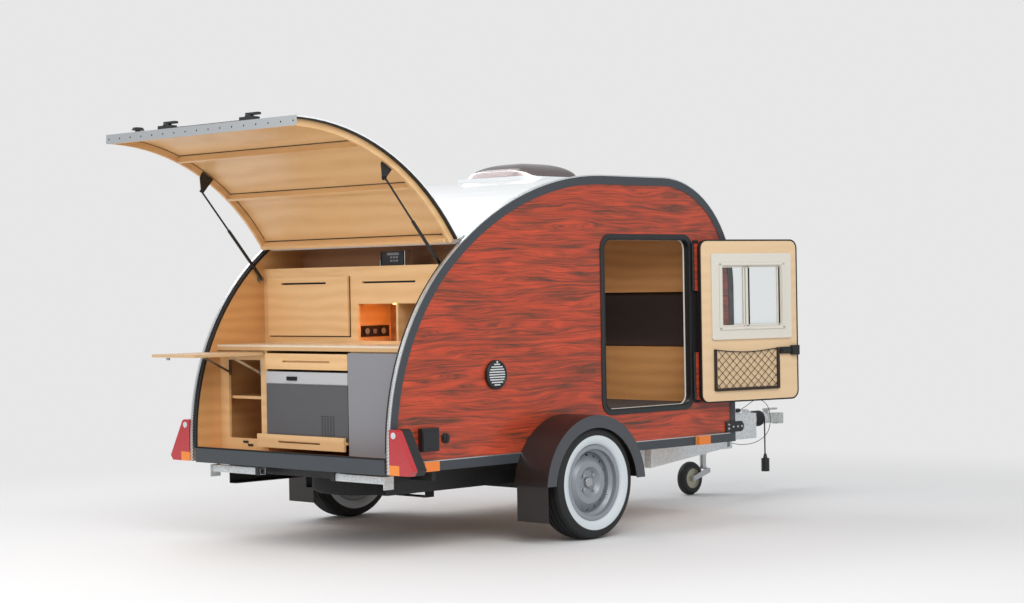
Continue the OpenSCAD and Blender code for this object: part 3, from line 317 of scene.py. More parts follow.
def rosewood(tree, place):
    """Printed rosewood: fine dark streaks along X, some 10 mm apart, bunched where the print is dark."""
    long = stretch(tree, place, (0.8, 0.8, 7.0))
    swirl = noise(tree, long, 1.7, 2)
    bent = ramp(tree, swirl, 0.3, 0.7, -0.022, 0.022)
    shift = add(tree, "CombineXYZ", {"Z": bent}).outputs[0]
    place = add(tree, "VectorMath", {0: place, 1: shift}, operation="ADD").outputs[0]
    fine = stretch(tree, place, (3.2, 3.2, 128.0))
    streak = noise(tree, fine, 1.0, 6, Roughness=0.7, Distortion=0.25)
    broad = stretch(tree, place, (1.3, 1.3, 13.0))
    patch = noise(tree, broad, 1.5, 4, Distortion=1.4)
    line = ramp(tree, streak, 0.42, 0.6)
    mass = ramp(tree, patch, 0.36, 0.66, 0.5, 1.0)
    dark = times(tree, line, mass)
    knot = ramp(tree, patch, 0.64, 0.76, 0.0, 0.75)
    glow = ramp(tree, patch, 0.3, 0.62)
    base = blend(tree, glow, tone("#cf4a28"), tone("#ae3c20"))
    base = blend(tree, dark, base, tone("#47301f"))
    return blend(tree, knot, base, tone("#4c3a28"))


def dress(material, *names):
    """Gives a material to whole pieces of the frame."""
    for name in names:
        for slot in frame["nodes"][name].material_slots:
            slot.material = material


half_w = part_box("side_wall_right")[0].y * -1
inner_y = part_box("side_wall_right")[1].y * -1
for name, direction in (("side_wall_right", (0, -1, 0)), ("side_wall_left", (0, 1, 0))):
    laminate, tree, shader = finish("pressed_laminate_" + name, "#b83c28", 0.32,
                                    Coat_Weight=0.25, Coat_Roughness=0.12)
    place = grain(tree, shader, 220, 0.04)
    outside = zone(tree, place, direction, half_w - 0.001)
    bare = ply_grain(tree, place, tone("#d9a56c"), tone("#b77f48"))
    colour = blend(tree, outside, bare, rosewood(tree, place))
    paint(tree, shader, colour)
    dress(laminate, name)


# Edge bands and beads: a powder-coated aluminium band round each side, and a bright fluted aluminium
# bead along its edge. The hatch closes on a black rubber seal, and its sill is the same dark band.

def shape_to_piece(name, shape, material, body, bevel=0.0, smooth=False):
    """Makes a piece of a finished shape, which rides on a body."""
    bmesh.ops.recalc_face_normals(shape, faces=shape.faces)
    mesh = bpy.data.meshes.new(name)
    shape.to_mesh(mesh)
    shape.free()
    mesh.materials.append(material)
    made = bpy.data.objects.new(name, mesh)
    bpy.context.scene.collection.objects.link(made)
    if smooth:
        mesh.shade_smooth()
        mesh.set_sharp_from_angle(angle=radians(35))
    if bevel:
        edge = made.modifiers.new("edge", "BEVEL")
        edge.width = bevel
        edge.segments = 2
        edge.limit_method = "ANGLE"
    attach(made, body)
    return made


def block(shape, low, high):
    low, high = Vector(low), Vector(high)
    middle = Matrix.Translation((low + high) / 2)
    return bmesh.ops.create_cube(shape, size=1,
                                 matrix=middle @ Matrix.Diagonal((*(high - low), 1)))["verts"]


def rod(shape, start, end, radius, tip=None, sides=24):
    start, end = Vector(start), Vector(end)
    turn = (end - start).to_track_quat("Z", "Y").to_matrix().to_4x4()
    return bmesh.ops.create_cone(shape, cap_ends=True, segments=sides, radius1=radius,
                                 radius2=radius if tip is None else tip, depth=(end - start).length,
                                 matrix=Matrix.Translation((start + end) / 2) @ turn)["verts"]


powder = even("powder_coated_aluminium", "#3b4045", 0.42, 0.0, 900, 0.12)
dress(powder, "edge_trims", "rear_sill")

bead_metal, tree, shader = finish("fluted_aluminium", "#d5d8d9", 0.34, 0.9)
place = here(tree)
flutes = waves(tree, place, 38.0, "DIAGONAL")
across = off_axis(tree, place, (0, 1, 0))
inside = ramp(tree, across, half_w - 0.0085, half_w - 0.0075, 1.0, 0.0)
flutes = times(tree, flutes, inside)
emboss(tree, shader, flutes, 0.6, 0.002)
# Painted shade and highlight: the flutes are painted in light and dark bands that follow their bumps
shade = ramp(tree, flutes, 0.25, 0.85, 0.0, 0.8)
paint(tree, shader, blend(tree, shade, tone("#e3e5e6"), tone("#55595b")))
dress(bead_metal, "edge_beads")

rubber = even("extruded_rubber", "#141516", 0.62, 0.0, 500, 0.2)
dress(rubber, "hatch_seal")

bright, tree, shader = finish("drawn_aluminium", "#d6d9da", 0.28, 1.0)
place = here(tree)
long = stretch(tree, place, (3, 3, 300))
drawn = noise(tree, long, 4)
emboss(tree, shader, drawn, 0.15, 0.0005)

# A bright line over the sill's dark band, on each side
sill_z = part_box("floor_pan")[0].z - ground_z
tail_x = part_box("edge_trims")[0].x - axle.x - 0.006
nose_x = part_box("edge_trims")[1].x - axle.x + 0.006
for sign, name in both_sides:
    strip = bmesh.new()
    y = sign * (half_w + 0.0033)
    block(strip, at(tail_x + 0.055, y - 0.0004, sill_z + 0.047),
          at(nose_x - 0.055, y + 0.0004, sill_z + 0.0515))
    shape_to_piece("sill_line_" + name, strip, bright, "trailer")


# Roof and hatch skin: white glass-fibre sheet with a smooth gel coat.

gel = even("white_gel_coat", "#e3e5e6", 0.34, 0.0, 60, 0.02, Coat_Weight=0.2)
dress(gel, "roof_panel", "hatch_skin", "skylight_frame")


# Hatch: birch ply ribs and boards under the skin, a bright angle with screws along its lower edge,
# rubber along both sides, two latches and a knob outside.

def wood(name, code, roughness, light, dark, **sockets):
    """Plywood whose faces show their veneer."""
    made, tree, shader = finish(name, code, roughness, **sockets)
    place = grain(tree, shader, 90, 0.05)
    paint(tree, shader, ply_grain(tree, place, tone(light), tone(dark)))
    return made


def at_limit(name, axis):
    """The turn that carries a piece to the upper limit of its hinge."""
    joint = next(j for j in frame["joints"] if j["name"] == name)
    pivot = Matrix.Translation(joint["pos_m"])
    return pivot @ Matrix.Rotation(radians(joint["range_deg"][1]), 4, axis) @ pivot.inverted()


opened = at_limit("hatch_hinge", "Y")

birch = wood("varnished_birch_ply", "#dcb07c", 0.4, "#e4bb87", "#c99659",
             Coat_Weight=0.2, Coat_Roughness=0.2)
dress(birch, "hatch_ribs", "upper_cabinet", "upper_door", "cutlery_drawer", "fridge_tray")

tail_r, shoulder_r, split = 1.26, 1.735, 49
body_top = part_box("edge_beads")[1].z - ground_z
tail_c = (tail_x + tail_r, body_top - shoulder_r * (1 - sin(radians(split))) - tail_r * sin(radians(split)))
shoulder_c = (tail_c[0] + (shoulder_r - tail_r) * cos(radians(split)), body_top - shoulder_r)


def outline(depth, start=182, end=127.3, steps=40):
    """Points (x, z) along the tail from a low angle on its curve up to the hinge, at a depth."""
    found = []
    for i in range(steps + 1):
        turn = start + (end - start) * i / steps
        centre, r = (tail_c, tail_r) if turn > 180 - split else (shoulder_c, shoulder_r)
        if turn > 180:
            found.append((tail_c[0] - tail_r + depth, tail_c[1] - (turn - 180) / 2 * 0.034))
        else:
            found.append((centre[0] + (r - depth) * cos(radians(turn)),
                          centre[1] + (r - depth) * sin(radians(turn))))
    return found


def strip_along(shape, outer, inner, y0, y1):
    """A strip between two lines (x, z) of the same number of points, from y0 to y1."""
    rings = []
    for (xo, zo), (xi, zi) in zip(outer, inner):
        rings.append([shape.verts.new(at(x, y, z)) for x, y, z in
                      ((xo, y0, zo), (xo, y1, zo), (xi, y1, zi), (xi, y0, zi))])
    for a, b in zip(rings, rings[1:]):
        for k in range(4):
            shape.faces.new((a[k], a[(k + 1) % 4], b[(k + 1) % 4], b[k]))
    shape.faces.new(rings[0][::-1])
    shape.faces.new(rings[-1])


hatch_half = 0.7655
edging_w = 0.021
edging = bmesh.new()
for y0, y1 in ((-hatch_half, -hatch_half + edging_w), (hatch_half - edging_w, hatch_half)):
    strip_along(edging, outline(0.0072), outline(0.0145), y0, y1)
edging.transform(opened)
shape_to_piece("hatch_edging", edging, rubber, "hatch", smooth=True)

# The seal's lip stands along the inner edge of each wall
for sign, name in both_sides:
    path = [at(x, sign * (inner_y + 0.006), z) for x, z in outline(0.0105, 181, 127.6)]
    wire("seal_lip_" + name, [path], 0.006, rubber, "trailer")

foot_z = sill_z + 0.081
# Painted shadow: dark strips beside the ribs and cross boards, on the side of the lining, standing in for
# the shade in the gaps there
shadow_strips = bmesh.new()
for y in (-0.7240, 0.7240):
    strip_along(shadow_strips, outline(0.0115, 178, 129), outline(0.0135, 178, 129), y - 0.0012, y + 0.0012)
for centre, r, turn in ((tail_c, tail_r, 161.46), (tail_c, tail_r, 143.46),
                        (shoulder_c, shoulder_r, 128.34)):
    sweep = [radians(turn), radians(turn + 0.1)]
    lines = [[(centre[0] + (r - d) * cos(t),
               centre[1] + (r - d) * sin(t)) for t in sweep] for d in (0.0115, 0.0145)]
    strip_along(shadow_strips, *lines, -0.723, 0.723)
shadow_strips.transform(opened)
shadow_gap = even("painted_shadow_strip", "#2a1c12", 0.8, 0.0, 400, 0.1)
shape_to_piece("hatch_painted_shadow_lines", shadow_strips, shadow_gap, "hatch")

angle = bmesh.new()
sheet_t = 0.0012
block(angle, at(tail_x, -hatch_half, foot_z - sheet_t), at(tail_x + 0.047, hatch_half, foot_z))
block(angle, at(tail_x - sheet_t, -hatch_half, foot_z - sheet_t), at(tail_x, hatch_half, foot_z + 0.02))
angle.transform(opened)
shape_to_piece("hatch_lower_angle", angle, bright, "hatch")

zinc = even("bright_zinc_steel", "#b9bcbe", 0.35, 1.0, 600, 0.1)
ink = even("black_oxide_steel", "#1c1d1e", 0.45, 0.6, 600, 0.1)

screws = bmesh.new()
screw_count = 17
for i in range(screw_count):
    y = -0.74 + 1.48 * i / (screw_count - 1)
    rod(screws, at(tail_x + 0.024, y, foot_z - 0.001), at(tail_x + 0.024, y, foot_z - 0.0028), 0.005,
        0.003, 12)
screws.transform(opened)
shape_to_piece("hatch_angle_screws", screws, ink, "hatch")

latch_y = 0.33
catches = bmesh.new()
for y in (-latch_y, latch_y):
    block(catches, at(tail_x + 0.03, y - 0.02, foot_z + 0.019),
          at(tail_x + 0.045, y + 0.02, foot_z + 0.022))
    rod(catches, at(tail_x + 0.038, y - 0.014, foot_z + 0.03),
        at(tail_x + 0.038, y + 0.014, foot_z + 0.03), 0.005)
    block(catches, at(tail_x + 0.034, y - 0.016, foot_z + 0.02),
          at(tail_x + 0.042, y - 0.012, foot_z + 0.034))
    block(catches, at(tail_x + 0.034, y + 0.012, foot_z + 0.02),
          at(tail_x + 0.042, y + 0.016, foot_z + 0.034))
catches.transform(opened)
shape_to_piece("hatch_catches", catches, zinc, "hatch", bevel=0.0008)

moulded = even("moulded_abs_black", "#1d1e20", 0.4, 0.0, 700, 0.15)
dress(moulded, "hatch_fittings", "galley_electrics", "power_plug")

latches = bmesh.new()
latch_z = foot_z + 0.065
for y in (-latch_y, latch_y):
    z = latch_z
    rod(latches, at(tail_x - 0.026, y, z), at(tail_x - 0.036, y, z), 0.024, 0.02)
    block(latches, at(tail_x - 0.046, y - 0.075, z - 0.012), at(tail_x - 0.034, y + 0.02, z + 0.012))
knob_y, knob_z = 0.56, foot_z + 0.05
rod(latches, at(tail_x, knob_y, knob_z), at(tail_x - 0.018, knob_y, knob_z), 0.014)
rod(latches, at(tail_x - 0.016, knob_y, knob_z), at(tail_x - 0.03, knob_y, knob_z), 0.034, 0.026)
rod(latches, at(tail_x - 0.012, -latch_y, latch_z), at(tail_x - 0.012, latch_y, latch_z), 0.004, sides=10)
latches.transform(opened)
shape_to_piece("hatch_latches", latches, moulded, "hatch", bevel=0.002, smooth=True)


# Gas struts: a lacquered steel tube and a ground rod, on ball ends.

lacquer = even("black_lacquered_steel", "#151617", 0.25, 0.0, 200, 0.03)
dress(lacquer, "strut_tubes")
ground = even("ground_steel_rod", "#3c3e40", 0.2, 1.0, 900, 0.04)
dress(ground, "strut_rods")
dress(zinc, "galley_brackets", "flap_braces")


# Galley: birch ply cabinets, varnished, with long routed finger slots. The open cupboard and the wall
# behind are ply painted browner and darker, as painted shade where they stand unlit, and the panel on the
# right is a grey laminate.

# Painted shade: the cabin's furniture, the floor and the bulkhead are ply painted browner than the galley's
# fronts
inner_birch = wood("oiled_birch_ply_painted_shade", "#c99a66", 0.5, "#dfa568", "#bf8046")
dress(inner_birch, "cabin_furniture", "floor_pan")
dress(birch, "lower_cabinet")
brown = wood("stained_ply_painted_shade", "#a3744f", 0.55, "#b98a64", "#8f6445")
dress(brown, "bulkhead")

table_ply, tree, shader = finish("table_birch_ply", "#c9ab86", 0.42)
place = grain(tree, shader, 90, 0.05)
edge = waves(tree, place, 110.0, "Z")
paint(tree, shader, blend(tree, edge, tone("#b89468"), tone("#ddc096")))
dress(table_ply, "flap_table")

# Worktop: the same ply under a pale laminate, whose edge shows as a light line
top_ply, tree, shader = finish("laminated_worktop", "#d8c3a2", 0.3)
place = grain(tree, shader, 90, 0.03)
upper_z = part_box("worktop")[1].z
layers = waves(tree, place, 70.0, "Z")
edge = blend(tree, layers, tone("#b98c5c"), tone("#dcb888"))
skin = zone(tree, place, (0, 0, 1), upper_z - 0.009)
paint(tree, shader, blend(tree, skin, edge, tone("#dccfb9")))
dress(top_ply, "worktop")

grey = even("grey_laminate", "#85858a", 0.5, 0.0, 700, 0.1)
dress(grey, "service_panel")

# Slots of the fronts: painted shade, a dark plate a little way in that stands in for the shade inside each
# slot, so that they read as routed
slots = bmesh.new()
slot_z = 1.349
for name, y0, y1 in (("upper_door", 0.22, 0.595), ("upper_cabinet", -0.475, -0.055)):
    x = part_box(name)[0].x - axle.x + 0.0152
    block(slots, at(x, y0, slot_z - 0.012), at(x + 0.001, y1, slot_z + 0.012))
shape_to_piece("slot_painted_shade", slots, ink, "trailer")

# Knob of the flap, and the small catches on the bottom rail
small = bmesh.new()
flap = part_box("flap_table")
rod(small, (flap[0].x + 0.06, flap[1].y - 0.06, flap[0].z),
    (flap[0].x + 0.06, flap[1].y - 0.06, flap[0].z - 0.012), 0.01)
shape_to_piece("flap_knob", small, zinc, "flap_table", bevel=0.001, smooth=True)
catches = bmesh.new()
face_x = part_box("lower_cabinet")[0].x - axle.x
for y, z in ((0.54, 0.512), (0.50, 0.496)):
    block(catches, at(face_x - 0.006, y - 0.02, z - 0.006), at(face_x - 0.0002, y + 0.02, z + 0.006))
shape_to_piece("cupboard_catches", catches, moulded, "trailer", bevel=0.001)

# Control unit: black case with two rows of keys, held in a bright bracket
unit_lo, unit_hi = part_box("galley_electrics")
worktop_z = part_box("worktop")[1].z
top_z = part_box("upper_cabinet")[1].z
unit_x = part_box("upper_cabinet")[0].x + 0.08
y0, y1 = unit_lo.y, unit_lo.y + 0.176
trim = bmesh.new()
for a, b, z0, z1 in ((y0 - 0.012, y0 - 0.007, 0, 0.078), (y1 + 0.002, y1 + 0.006, 0, 0.03),
                     (y0 - 0.012, y0, 0, 0.003)):
    block(trim, (unit_x - 0.003, a, top_z + z0), (unit_x + 0.04, b, top_z + z1))
shape_to_piece("control_unit_bracket", trim, bright, "trailer", bevel=0.0006)
keys = bmesh.new()
for row in range(2):
    for column in range(3):
        y, z = y0 + 0.05 + 0.022 * column, top_z + 0.026 + 0.018 * row
        block(keys, (unit_x - 0.003, y - 0.008, z - 0.005), (unit_x - 0.0003, y + 0.008, z + 0.005))
block(keys, (unit_x - 0.0015, y0 + 0.035, top_z + 0.055), (unit_x - 0.0003, y1 - 0.05, top_z + 0.068))
shape_to_piece("control_unit_keys", keys, grey, "trailer", bevel=0.0008)
rim = bmesh.new()
for a, b, z0, z1 in ((y0, y1, 0.0, 0.006), (y0, y1, 0.07, 0.076), (y0, y0 + 0.006, 0, 0.076),
                     (y1 - 0.006, y1, 0, 0.076)):
    block(rim, (unit_x - 0.004, a, top_z + z0), (unit_x - 0.0003, b, top_z + z1))
shape_to_piece("control_unit_rim", rim, moulded, "trailer", bevel=0.001)

# Sockets on the divider: two round wells with their lids' rings, and a small switch between
sockets, rings = bmesh.new(), bmesh.new()
panel_y = unit_hi.y - 0.008
for x in (unit_x + 0.02, unit_x + 0.135):
    z = worktop_z + 0.063
    rod(sockets, (x, panel_y - 0.0002, z), (x, panel_y - 0.006, z), 0.024, 0.021)
    rod(rings, (x, panel_y - 0.006, z), (x, panel_y - 0.0068, z), 0.0165)
block(rings, (unit_x + 0.066, panel_y - 0.004, worktop_z + 0.05),
      (unit_x + 0.088, panel_y - 0.0002, worktop_z + 0.074))
shape_to_piece("socket_wells", sockets, ink, "trailer", smooth=True)
shape_to_piece("socket_rings", rings, grey, "trailer", bevel=0.0006)

# Painted shadow: a thin dark strip round the upper door, where its edge meets the face
door_shadow_strip = bmesh.new()
door_lo, door_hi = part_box("upper_door")
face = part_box("upper_cabinet")[0].x - 0.0004
bottom = door_lo.z
for a, b, z0, z1 in ((door_lo.y - 0.006, door_lo.y, bottom - 0.006, door_hi.z - 0.003),
                     (door_lo.y, door_hi.y, bottom - 0.006, bottom)):
    block(door_shadow_strip, (face - 0.0012, a, z0), (face, b, z1))
shape_to_piece("upper_door_painted_shadow", door_shadow_strip, shadow_gap, "trailer")

# Warm light strip under the cubby's top, out of sight behind the face, which lights the cubby
glow = even("warm_led_strip", "#ffb347", 0.5, 0.0, 50, 0.02, Emission_Color=tone("#ffab3d"),
            Emission_Strength=26.0)
led = bmesh.new()
block(led, (unit_x - 0.055, -0.30, worktop_z + 0.2045), (unit_x + 0.15, -0.27, worktop_z + 0.2088))
shape_to_piece("cubby_light", led, glow, "trailer", bevel=0.001)


# Fridge box: moulded case in dark grey with a light lid and latch, and slots for its fan.

case, tree, shader = finish("moulded_fridge_case", "#57575a", 0.45)
place = grain(tree, shader, 900, 0.15)
fridge_lo, fridge_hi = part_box("fridge")
lid = zone(tree, place, (0, 0, 1), fridge_hi.z - 0.064)
paint(tree, shader, blend(tree, lid, tone("#515154"), tone("#b4b5b8")))
dress(case, "fridge")
latch = bmesh.new()
x = fridge_lo.x
z = fridge_hi.z - 0.034
block(latch, (x - 0.006, 0.09, z - 0.01), (x - 0.0003, 0.17, z + 0.01))
for row in range(11):
    for column in range(5):
        y, zz = -0.105 - 0.022 * column, fridge_lo.z + 0.02 + 0.0105 * row
        block(latch, (x - 0.0008, y - 0.006, zz - 0.002), (x - 0.0002, y + 0.006, zz + 0.002))
shape_to_piece("fridge_latch_and_vents", latch, ink, "fridge_tray")
hinge_line = bmesh.new()
block(hinge_line, (x - 0.003, fridge_lo.y + 0.004, fridge_hi.z - 0.0625),
      (x - 0.0003, fridge_hi.y - 0.004, fridge_hi.z - 0.0605))
shape_to_piece("fridge_lid_edge", hinge_line, grey, "fridge_tray")


# Bed and padded panel: foam blocks in a woven brown cloth, crowned a little and seamed round the edge.

cloth, tree, shader = finish("woven_upholstery", "#3a2a24", 0.9, Sheen_Weight=0.04)
place = here(tree)
weft = waves(tree, place, 95.0, "X")
warp = waves(tree, place, 95.0, "Y")
weave = times(tree, weft, warp)
paint(tree, shader, blend(tree, weave, tone("#2a1f1b"), tone("#46352d")))
emboss(tree, shader, weave, 0.3, 0.001)


def cushion(name, low, high, crown):
    """A crowned block: its broad faces swell towards the middle and its corners are drawn in."""
    made = bmesh.new()
    bmesh.ops.create_cube(made, size=2)
    bmesh.ops.subdivide_edges(made, edges=made.edges, cuts=9, use_grid_fill=True)
    size = [(b - a) / 2 for a, b in zip(low, high)]
    thin = size.index(min(size))
    for v in made.verts:
        other = [v.co[k] for k in range(3) if k != thin]
        swell = (1 - other[0] ** 4) * (1 - other[1] ** 4)
        for k in range(3):
            if k != thin:
                v.co[k] *= 1 - 0.012 * (1 - abs(v.co[thin]) ** 0.5)
        v.co[thin] *= 1 - crown * (1 - swell)
        v.co = Vector([v.co[k] * size[k] + (low[k] + high[k]) / 2 for k in range(3)])
    return shape_to_piece(name, made, cloth, "trailer", bevel=0.004, smooth=True)


pads_lo, pads_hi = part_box("cushions")
bed_low = (pads_lo.x, pads_lo.y, pads_lo.z)
bed_high = (axle.x + nose_x - 0.246, pads_hi.y, pads_lo.z + 0.098)
mattress = cushion("mattress", bed_low, bed_high, 0.16)
panel_low = (axle.x + nose_x - 0.22, pads_lo.y, pads_hi.z - 0.3127)
panel_high = (axle.x + nose_x - 0.18, pads_hi.y, pads_hi.z)
panel = cushion("padded_panel", panel_low, panel_high, 0.1)
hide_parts("cushions")


# Doors: birch ply leaves with the laminate outside, a black rubber round the edge, a cream window
# with two sliding panes, a net pocket on an elastic edge, a latch and long black hinges.

flipped = at_limit("right_door_hinge", "Z") @ Matrix.Diagonal((1, -1, 1, 1))

door_x = (0.331, 1.05)
door_z = (sill_z + 0.229, sill_z + 1.153)
leaf_out = half_w + 0.006
leaf_in = leaf_out - 0.026
for name, move in (("door_right", flipped), ("door_left", Matrix.Identity(4))):
    leaf, tree, shader = finish("faced_leaf_" + name, "#dcc09a", 0.4)
    place = grain(tree, shader, 120, 0.04)
    out = (move.to_3x3() @ Vector((0, 1, 0))).normalized()
    face = (move @ at(0.6, leaf_out - 0.0008, 1.0)).dot(out)
    outside = zone(tree, place, out, face)
    edge = zone(tree, place, out, face - leaf_out + leaf_in + 0.003)
    pale = ply_grain(tree, place, tone("#e6c8a0"), tone("#dab78c"))
    colour = blend(tree, edge, pale, tone("#1a1b1c"))
    colour = blend(tree, outside, colour, rosewood(tree, place))
    paint(tree, shader, colour)
    dress(leaf, name)


def doorway_path(inset, y, r, steps=8):
    """Points round the doorway's outline, an inset within it, with round corners."""
    x0, x1 = door_x[0] + inset, door_x[1] - inset
    z0, z1 = door_z[0] + inset, door_z[1] - inset
    found = []
    for cx, cz, start in ((x1 - r, z1 - r, 0), (x0 + r, z1 - r, 90), (x0 + r, z0 + r, 180),
                          (x1 - r, z0 + r, 270)):
        for i in range(steps + 1):
            turn = radians(start + 90 * i / steps)
            found.append(at(cx + r * cos(turn), y, cz + r * sin(turn)))
    return found


cream = even("cream_window_plastic", "#dcd7cb", 0.38, 0.0, 500, 0.06)
dress(cream, "door_window_right", "door_window_left")
pane = even("clear_acrylic", "#f4f8f8", 0.03, 0.0, 3, 0.01, Transmission_Weight=1.0, IOR=1.49)
dress(pane, "door_glass_right", "door_glass_left")
profile_black = even("door_frame_profile", "#1f2123", 0.38, 0.0, 900, 0.1)
dress(profile_black, "door_frames")

glass_lo, glass_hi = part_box("door_glass_left")
gx0, gx1 = glass_lo.x - axle.x, glass_hi.x - axle.x
gz0, gz1 = glass_lo.z - ground_z, glass_hi.z - ground_z
for name, move, body in (("right", flipped, "right_door"), ("left", Matrix.Identity(4), "left_door")):
    edge = [move @ p for p in doorway_path(0.0075, leaf_in + 0.0005, 0.047)]
    wire("door_seal_" + name, [edge], 0.0045, rubber, body, closed=True)
    # Rails of the sliding panes: bars on the inner side of the glass, bright on the left door and cream on
    # the right, and two small clips
    bars = bmesh.new()
    for x, w in ((gx0 + 0.245, 0.012), (gx0 + 0.272, 0.004), (gx0 + 0.012, 0.012), (gx1 - 0.006, 0.006)):
        block(bars, at(x - w, leaf_in - 0.004, gz0), at(x + w, leaf_in + 0.0075, gz1))
    for z in (gz0, gz1 - 0.008):
        block(bars, at(gx0, leaf_in - 0.004, z), at(gx1, leaf_in + 0.0075, z + 0.008))
    bars.transform(move)
    shape_to_piece("pane_rails_" + name, bars, bright if name == "left" else cream, body,
                   bevel=0.001)
    lip = bmesh.new()
    for x0, x1 in ((gx0 - 0.02, gx0 - 0.004), (gx1 + 0.004, gx1 + 0.02)):
        block(lip, at(x0, leaf_in - 0.018, gz0 - 0.016), at(x1, leaf_in - 0.0122, gz1 + 0.016))
    for z in (gz0 - 0.018, gz1 + 0.004):
        block(lip, at(gx0 - 0.02, leaf_in - 0.018, z), at(gx1 + 0.02, leaf_in - 0.0122, z + 0.014))
    lip.transform(move)
    shape_to_piece("window_inner_lip_" + name, lip, cream, body, bevel=0.002)
    seals = bmesh.new()
    for x in (gx0 + 0.012, gx0 + 0.236):
        block(seals, at(x - 0.005, leaf_in - 0.0055, gz0 + 0.01),
              at(x + 0.005, leaf_in - 0.004, gz1 - 0.01))
    seals.transform(move)
    shape_to_piece("pane_seals_" + name, seals, ink, body)
    clips = bmesh.new()
    for z in (gz0 - 0.012, gz1 + 0.004):
        block(clips, at(gx0 + 0.22, leaf_in - 0.02, z), at(gx0 + 0.28, leaf_in - 0.0122, z + 0.01))
    clips.transform(move)
    shape_to_piece("pane_clips_" + name, clips, cream, body, bevel=0.002)

    # Net pocket: elastic cord in a diamond mesh, in a frame of three webbing-covered bars
    px0, px1 = door_x[1] - 0.578 + 0.018, door_x[1] - 0.12 + 0.018
    pz0, pz1 = sill_z + 0.305, sill_z + 0.529
    y = leaf_in - 0.009
    strings = []
    pitch = 0.052
    slope = 0.95
    count = int((px1 - px0) / pitch) + 6
    for sign in (1, -1):
        for k in range(-6, count):
            x_low = px0 + pitch * k if sign > 0 else px1 - pitch * k
            path = []
            for i in range(15):
                z = pz0 + (pz1 - pz0) * i / 14
                x = x_low + sign * (z - pz0) / slope
                if px0 <= x <= px1:
                    sag = 0.016 * sin(pi * (x - px0) / (px1 - px0)) * (z - pz0) / (pz1 - pz0)
                    path.append(move @ at(x, y - 0.0015 * sign, z - sag))
            if len(path) > 2:
                strings.append(path)
    wire("pocket_net_" + name, strings, 0.0016, sheath, body, sides=1)
    bars = bmesh.new()
    for x in (px0, px1):
        block(bars, at(x - 0.008, leaf_in - 0.014, pz0 - 0.006),
              at(x + 0.008, leaf_in - 0.0003, pz1 + 0.004))
    block(bars, at(px0, leaf_in - 0.014, pz0 - 0.008), at(px1, leaf_in - 0.0003, pz0 + 0.008))
    bars.transform(move)
    shape_to_piece("pocket_frame_" + name, bars, cloth, body, bevel=0.003)
    top = [move @ at(px0 + (px1 - px0) * i / 16, y, pz1 - 0.016 * sin(pi * i / 16)) for i in range(17)]
    wire("pocket_elastic_" + name, [top], 0.003, sheath, body)

    # Latch: a moulded case on the free edge, with its lever
    lx0, lx1, lz = door_x[0] + 0.008, door_x[0] + 0.142, sill_z + 0.514
    latch_case = bmesh.new()
    block(latch_case, at(lx0, leaf_in - 0.022, lz - 0.028), at(lx0 + 0.055, leaf_in - 0.0003, lz + 0.028))
    block(latch_case, at(lx0 + 0.05, leaf_in - 0.014, lz - 0.02), at(lx1, leaf_in - 0.0003, lz + 0.02))
    block(latch_case, at(lx0 + 0.06, leaf_in - 0.02, lz - 0.009),
          at(lx1 - 0.01, leaf_in - 0.013, lz + 0.009))
    latch_case.transform(move)
    shape_to_piece("door_latch_" + name, latch_case, moulded, body, bevel=0.003)

    # Outside handle: a flat black recess plate with its pull
    pull = bmesh.new()
    block(pull, at(lx0 + 0.03, leaf_out + 0.0002, lz - 0.035), at(lx0 + 0.13, leaf_out + 0.004, lz + 0.035))
    block(pull, at(lx0 + 0.04, leaf_out + 0.004, lz - 0.012), at(lx0 + 0.12, leaf_out + 0.010, lz + 0.012))
    pull.transform(move)
    shape_to_piece("door_pull_" + name, pull, moulded, body, bevel=0.002)

# Hinge knuckles are a row of rings, with bright screws in both leaves
for sign, name in both_sides:
    knuckles, heads = bmesh.new(), bmesh.new()
    hy = sign * (half_w + 0.012)
    leaf_y = sign * (half_w + 0.0015)
    for z0 in (door_z[0] + 0.025, door_z[1] - 0.290):
        for k in range(5):
            z = z0 + 0.004 + 0.0525 * k
            rod(knuckles, at(1.068, hy, z), at(1.068, hy, z + 0.047), 0.0085)
        for k in range(6):
            z = z0 + 0.02 + 0.045 * k
            start, end = at(1.085, sign * (half_w + 0.0002), z), at(1.085, sign * (half_w + 0.0035), z)
            rod(heads, start, end, 0.0055, 0.003, 12)
        block(knuckles, at(1.076, leaf_y - 0.0014, z0), at(1.094, leaf_y + 0.0014, z0 + 0.265))
    y = sign * (half_w + 0.0012)
    block(knuckles, at(1.0755, y - 0.001, door_z[0] + 0.006), at(1.128, y + 0.001, door_z[1] - 0.006))
    shape_to_piece("hinge_knuckles_" + name, knuckles, profile_black, "trailer",
                   smooth=True)
    shape_to_piece("hinge_screws_" + name, heads, zinc, "trailer", smooth=True)
    # Cream bead inside the doorway and the rubber on its outer flange
    bead = doorway_path(0.003, sign * (inner_y - 0.001), 0.052)
    wire("doorway_bead_" + name, [bead], 0.0045, cream, "trailer", closed=True)
    lip = doorway_path(0.004, sign * (half_w + 0.003), 0.051)
    wire("doorway_lip_" + name, [lip], 0.004, rubber, "trailer", closed=True)


# Fittings on the right side: a round vent with pale slats, the mains inlet under its lid, a filler
# cap, and the black plate that ties the body to the drawbar.

